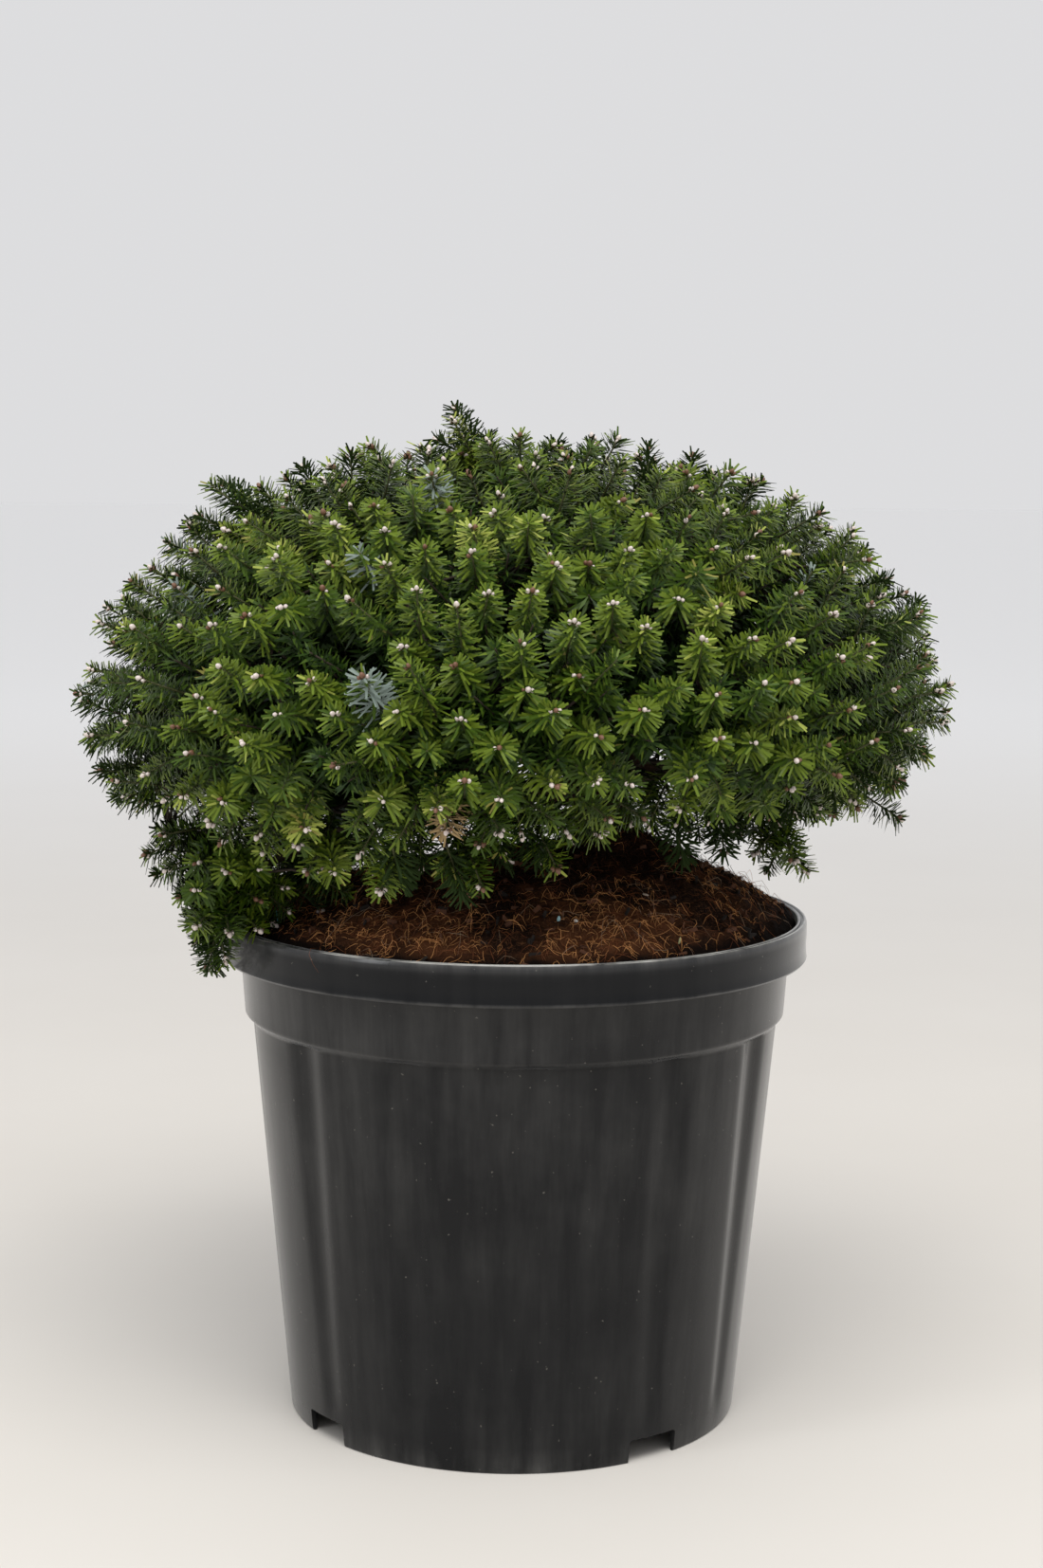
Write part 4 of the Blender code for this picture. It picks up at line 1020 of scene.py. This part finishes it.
# %% Raise the mound
for vertex in soil.data.vertices:
    x, y, z = vertex.co
    if z > (MOUND_LOW + MOUND_FLAT) / 2:
        vertex.co.z = float(mound(np.array((x, y, 0.0)))) + clots(x, y) + heap(x, y) - SUNK
print("mound:", len(soil.data.polygons), "faces")

# %% [markdown]
# The mix is painted nearly black in a ring along the wall, as shade in the gap there, and it is
# rusty in two fresh patches at the front.

# %% Mix colours
PATCHES, PATCH_Z = ((-0.060, -0.130), (0.046, -0.136)), 0.275
mix, tree, shader = new_finish("coir_mix", (0.03, 0.014, 0.008), 0.95, Specular_IOR_Level=0.08)
place = node(tree, "ShaderNodeTexCoord").outputs["Object"]
strands = speckled(tree, place, 380.0, 3.0, Roughness=0.7, Distortion=2.5)
near = worked(tree, "MINIMUM", *(node(tree, "ShaderNodeVectorMath", {"operation": "DISTANCE"}, i0=place,
                                      i1=(*spot, PATCH_Z)).outputs["Value"] for spot in PATCHES))
ripe = worked(tree, "ADD", speckled(tree, place, 34.0, 6.0, Roughness=0.66),
              spread(tree, near, 0.015, 0.065, 0.13, -0.06))
hue = ramp(tree, ripe, ((0.45, (0.0125, 0.0062, 0.0044)), (0.68, (0.125, 0.047, 0.020))))
frayed = mixed(tree, spread(tree, strands, 0.50, 0.78), hue, (0.200, 0.090, 0.040))
flat = node(tree, "ShaderNodeMapping", Vector=place, Scale=(1.0, 1.0, 0.0)).outputs[0]
out = node(tree, "ShaderNodeVectorMath", {"operation": "LENGTH"}, i0=flat).outputs["Value"]
# Painted shade: the mix turns nearly black in a ring along the wall, where the gap by the lip is in shade.
painted_wall_shade = mixed(tree, spread(tree, out, 0.1395, 0.1485), frayed, (0.007, 0.004, 0.003))
rough = node(tree, "ShaderNodeBump", Height=strands, Strength=0.9, Distance=0.0012)
wire(tree, shader, Base_Color=painted_wall_shade, Normal=rough.outputs[0])
soil.data.materials.clear()
soil.data.materials.append(mix)
bpy.ops.object.select_all(action="DESELECT")
soil.select_set(True)
bpy.ops.object.shade_smooth()
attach(soil, "root")
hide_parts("soil")
print("mix colours:", len(tree.nodes), "nodes")

# %% [markdown]
# A mat of fibres as fine as hair lies on the mix and gives it a soft, frayed outline. Each is a
# tube with three sides that keeps turning at its own rate, as a hair curls. Most lie flat, and some
# have an end in the air. The bright ones gather in the two fresh patches.

# %% Fibres
FIBRES = [  # name, colour, count, length range, thickness, how high an end may stand, and how
    # strictly they keep to the patches at the front
    ("fibre_black", (0.020, 0.009, 0.006), 1000, (0.006, 0.022), 0.00017, 0.0040, 0.0),
    ("fibre_red", (0.240, 0.082, 0.031), 1600, (0.004, 0.016), 0.00012, 0.0034, 0.5),
    ("fibre_orange", (0.84, 0.400, 0.145), 1150, (0.003, 0.012), 0.00011, 0.0034, 1.0),
    ("fibre_tan", (0.42, 0.29, 0.19), 150, (0.010, 0.030), 0.00010, 0.0075, 0.4)]
FIBRE_REACH, FIBRE_POINTS, WALL_GAP = 0.148, 5, 0.0008
AT_TRUNK, TRUNK_PULL = 0.35, 0.25  # share of the black ones gathered round the trunk as painted shade, and how closely
PATCH_R, PATCH_SHARE = 0.034, 0.9
INNER_R, INNER_FADE, INNER_SHARE = 0.060, 0.06, 0.12  # few of the bright ones lie far in
CURL, CURL_STEP, ARCHED = 1.0, 0.5, 0.35  # turns of a fibre in radians, and how it arches off the mix
STANDING, STAND_MOST = 0.22, 0.012  # share of the fibres with an end in the air, and its greatest height
FIBRE_TAPER = np.array((0.5, 1, 1, 0.8, 0.35))
OVER_LIP = [(-0.1000, -0.1150, 0.2745), (-0.1030, -0.1215, 0.2756), (-0.1037, -0.1245, 0.2730),
            (-0.1015, -0.1264, 0.2682), (-0.0985, -0.1290, 0.2645)]  # one long fibre hangs down outside

# %% Ways of the fibres
def fibre_paths(count, length, stand, front):
    """Curled ways over the mound: each keeps turning at its own rate and arches off the mix."""
    rows = []
    while len(rows) < count:
        turn = dice.uniform(-math.pi, math.pi)
        radius = FIBRE_REACH * math.sqrt(dice.uniform())
        x, y = radius * math.sin(turn), -radius * math.cos(turn)
        if front == 0 and dice.uniform() < AT_TRUNK:
            x, y = TRUNK_X + x * TRUNK_PULL, y * TRUNK_PULL
        patch = 0.25 + 0.35 * noise.noise(Vector((x * 26 + 5.1, y * 26, 1.7)))
        for spot in PATCHES:
            patch += PATCH_SHARE * math.exp(-((x - spot[0]) ** 2 + (y - spot[1]) ** 2) / PATCH_R ** 2)
        outward = min(1.0, max(INNER_SHARE, (radius - INNER_R) / INNER_FADE))
        if dice.uniform() < front * (1 - patch * outward):
            continue
        rows.append((x, y))
    start = np.array(rows)
    size = dice.uniform(*length, size=count)
    swing = dice.uniform(0, math.tau, size=(count, 1))
    curl = dice.normal(scale=CURL, size=(count, 1))
    curl = curl + dice.normal(scale=CURL_STEP, size=(count, FIBRE_POINTS)).cumsum(axis=1)
    share = np.linspace(0, 1, FIBRE_POINTS)[None]
    turn = swing + curl * share
    stride = (size / (FIBRE_POINTS - 1))[:, None]
    x = start[:, :1] + np.cumsum(np.cos(turn) * stride, axis=1) - np.cos(turn[:, :1]) * stride
    y = start[:, 1:] + np.cumsum(np.sin(turn) * stride, axis=1) - np.sin(turn[:, :1]) * stride
    inside = np.minimum(1.0, (MOUND_R - WALL_GAP) / np.hypot(x, y))
    x, y = x * inside, y * inside
    arch = dice.exponential(stand * ARCHED, size=(count, 1)) * np.sin(math.pi * share)
    loose = dice.uniform(size=(count, 1)) < STANDING
    free = np.where(loose, dice.uniform(0, stand * 1.6, size=(count, 1)), 0.0)
    ground = mound(np.stack([x, y, x], axis=-1))
    ground += np.array([clots(a, b) + heap(a, b) for a, b in zip(x.ravel(), y.ravel())]).reshape(x.shape)
    z = ground - 0.0004 + np.minimum(arch + free * share ** 2, STAND_MOST)
    return np.stack([x, y, z], axis=-1)


# %% Lay the fibres
fibre_finishes, parts = [], []
for index, (name, colour, count, length, thick, stand, front) in enumerate(FIBRES):
    fibre_finishes.append(new_finish(name, colour, 0.8, Specular_IOR_Level=0.15)[0])
    paths = fibre_paths(count, length, stand, front)
    if name == "fibre_red":
        paths[0] = OVER_LIP
    radii = thick * dice.uniform(0.7, 1.3, size=(count, 1)) * FIBRE_TAPER[None]
    parts.append((*tubes(paths, radii, 3), index))
fibres = mesh_piece("coir_fibres", parts, fibre_finishes, smooth=True)
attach(fibres, "root")
print("fibres:", len(fibres.data.polygons), "triangles")

# %% [markdown]
# Chips of bark and a few coloured fertiliser grains are strewn over the mix. One box and the bud's
# own shape are copied for all of them.

# %% Chips and grains
CHIP_REACH = 0.150
CHIPS = [  # name, colour, count, half sizes
    ("bark_chip", (0.105, 0.040, 0.017), 150, (0.0026, 0.0011, 0.0005)),
    ("dark_chip", (0.014, 0.009, 0.006), 80, (0.0024, 0.0010, 0.0005))]
GRAINS = [  # name, colour, azimuth in degrees, radius, half sizes, tilt in degrees
    ("grain_cyan", (0.13, 0.42, 0.46), -65.0, 0.139, (0.0007, 0.0004, 0.0040), 8.0),
    ("grain_blue", (0.36, 0.58, 0.62), 11.0, 0.118, (0.0010, 0.0010, 0.0018), 20.0),
    ("grain_white", (0.72, 0.70, 0.66), 15.0, 0.120, (0.0019, 0.0009, 0.0008), 20.0),
    ("grain_pale", (0.62, 0.52, 0.42), 40.0, 0.106, (0.0022, 0.0006, 0.0005), 15.0),
    ("grain_yellow", (0.62, 0.60, 0.30), 36.0, 0.143, (0.0007, 0.0006, 0.0022), 25.0)]


def seated(azimuth, radius, lift=0.0):
    """A place on the mix for an azimuth and a radius."""
    x, y = radius * math.sin(azimuth), -radius * math.cos(azimuth)
    return (x, y, float(mound(np.array((x, y, 0.0)))) + clots(x, y) + heap(x, y) + lift)


# %% Strew the chips and grains
box = np.array([(x, y, z) for z in (-1, 1) for y in (-1, 1) for x in (-1, 1)], dtype=float)
box_faces = np.array([(0, 1, 3), (0, 3, 2), (4, 6, 7), (4, 7, 5), (0, 4, 5), (0, 5, 1), (2, 3, 7), (2, 7, 6),
                      (0, 2, 6), (0, 6, 4), (1, 5, 7), (1, 7, 3)])
finishes, parts = [], []
for name, colour, count, half in CHIPS:
    turn, radius = dice.uniform(-math.pi, math.pi, count), CHIP_REACH * np.sqrt(dice.uniform(size=count))
    seats = np.array([seated(a, r) for a, r in zip(turn, radius)])
    axes = unit(dice.normal(size=(count, 3)) * (1, 1, 0.5))
    sizes = np.array(half)[None] * dice.uniform(0.5, 1.5, size=(count, 3))
    parts.append((*copies(box, box_faces[:, ::-1], seats, axes, sizes[:, ::-1]), len(finishes)))
    finishes.append(new_finish(name, colour, 0.85)[0])
for name, colour, azimuth, radius, half, tilt in GRAINS:
    out = heading(math.radians(azimuth))
    axis = Vector((0, 0, 1)) if half[2] > half[0] * 1.4 else Vector((out.y, -out.x, 0.1))
    axis = (axis + out * math.sin(math.radians(tilt))).normalized()
    seat = seated(math.radians(azimuth), radius, half[2] * 0.6 if axis.z > 0.5 else half[0] * 0.5)
    made = copies(bud_corners, bud_faces, np.array([seat]), np.array([axis]), np.array([half]))
    parts.append((*made, len(finishes)))
    finishes.append(new_finish(name, colour, 0.5)[0])
chips = mesh_piece("chips_and_grains", parts, finishes)
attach(chips, "root")
print("chips and grains:", len(chips.data.polygons), "triangles")

# %% [markdown]
# ## Sizes
# Every piece rides with the one rigid body. The bounds of the dressed plant are taken, and the
# largest pieces' triangles are printed.

# %% Sizes
low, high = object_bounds()
for piece in sorted((p for p in scene.objects if p.type == "MESH"), key=lambda p: -len(p.data.polygons))[:6]:
    print(piece.name, sum(len(face.vertices) - 2 for face in piece.data.polygons), "triangles")
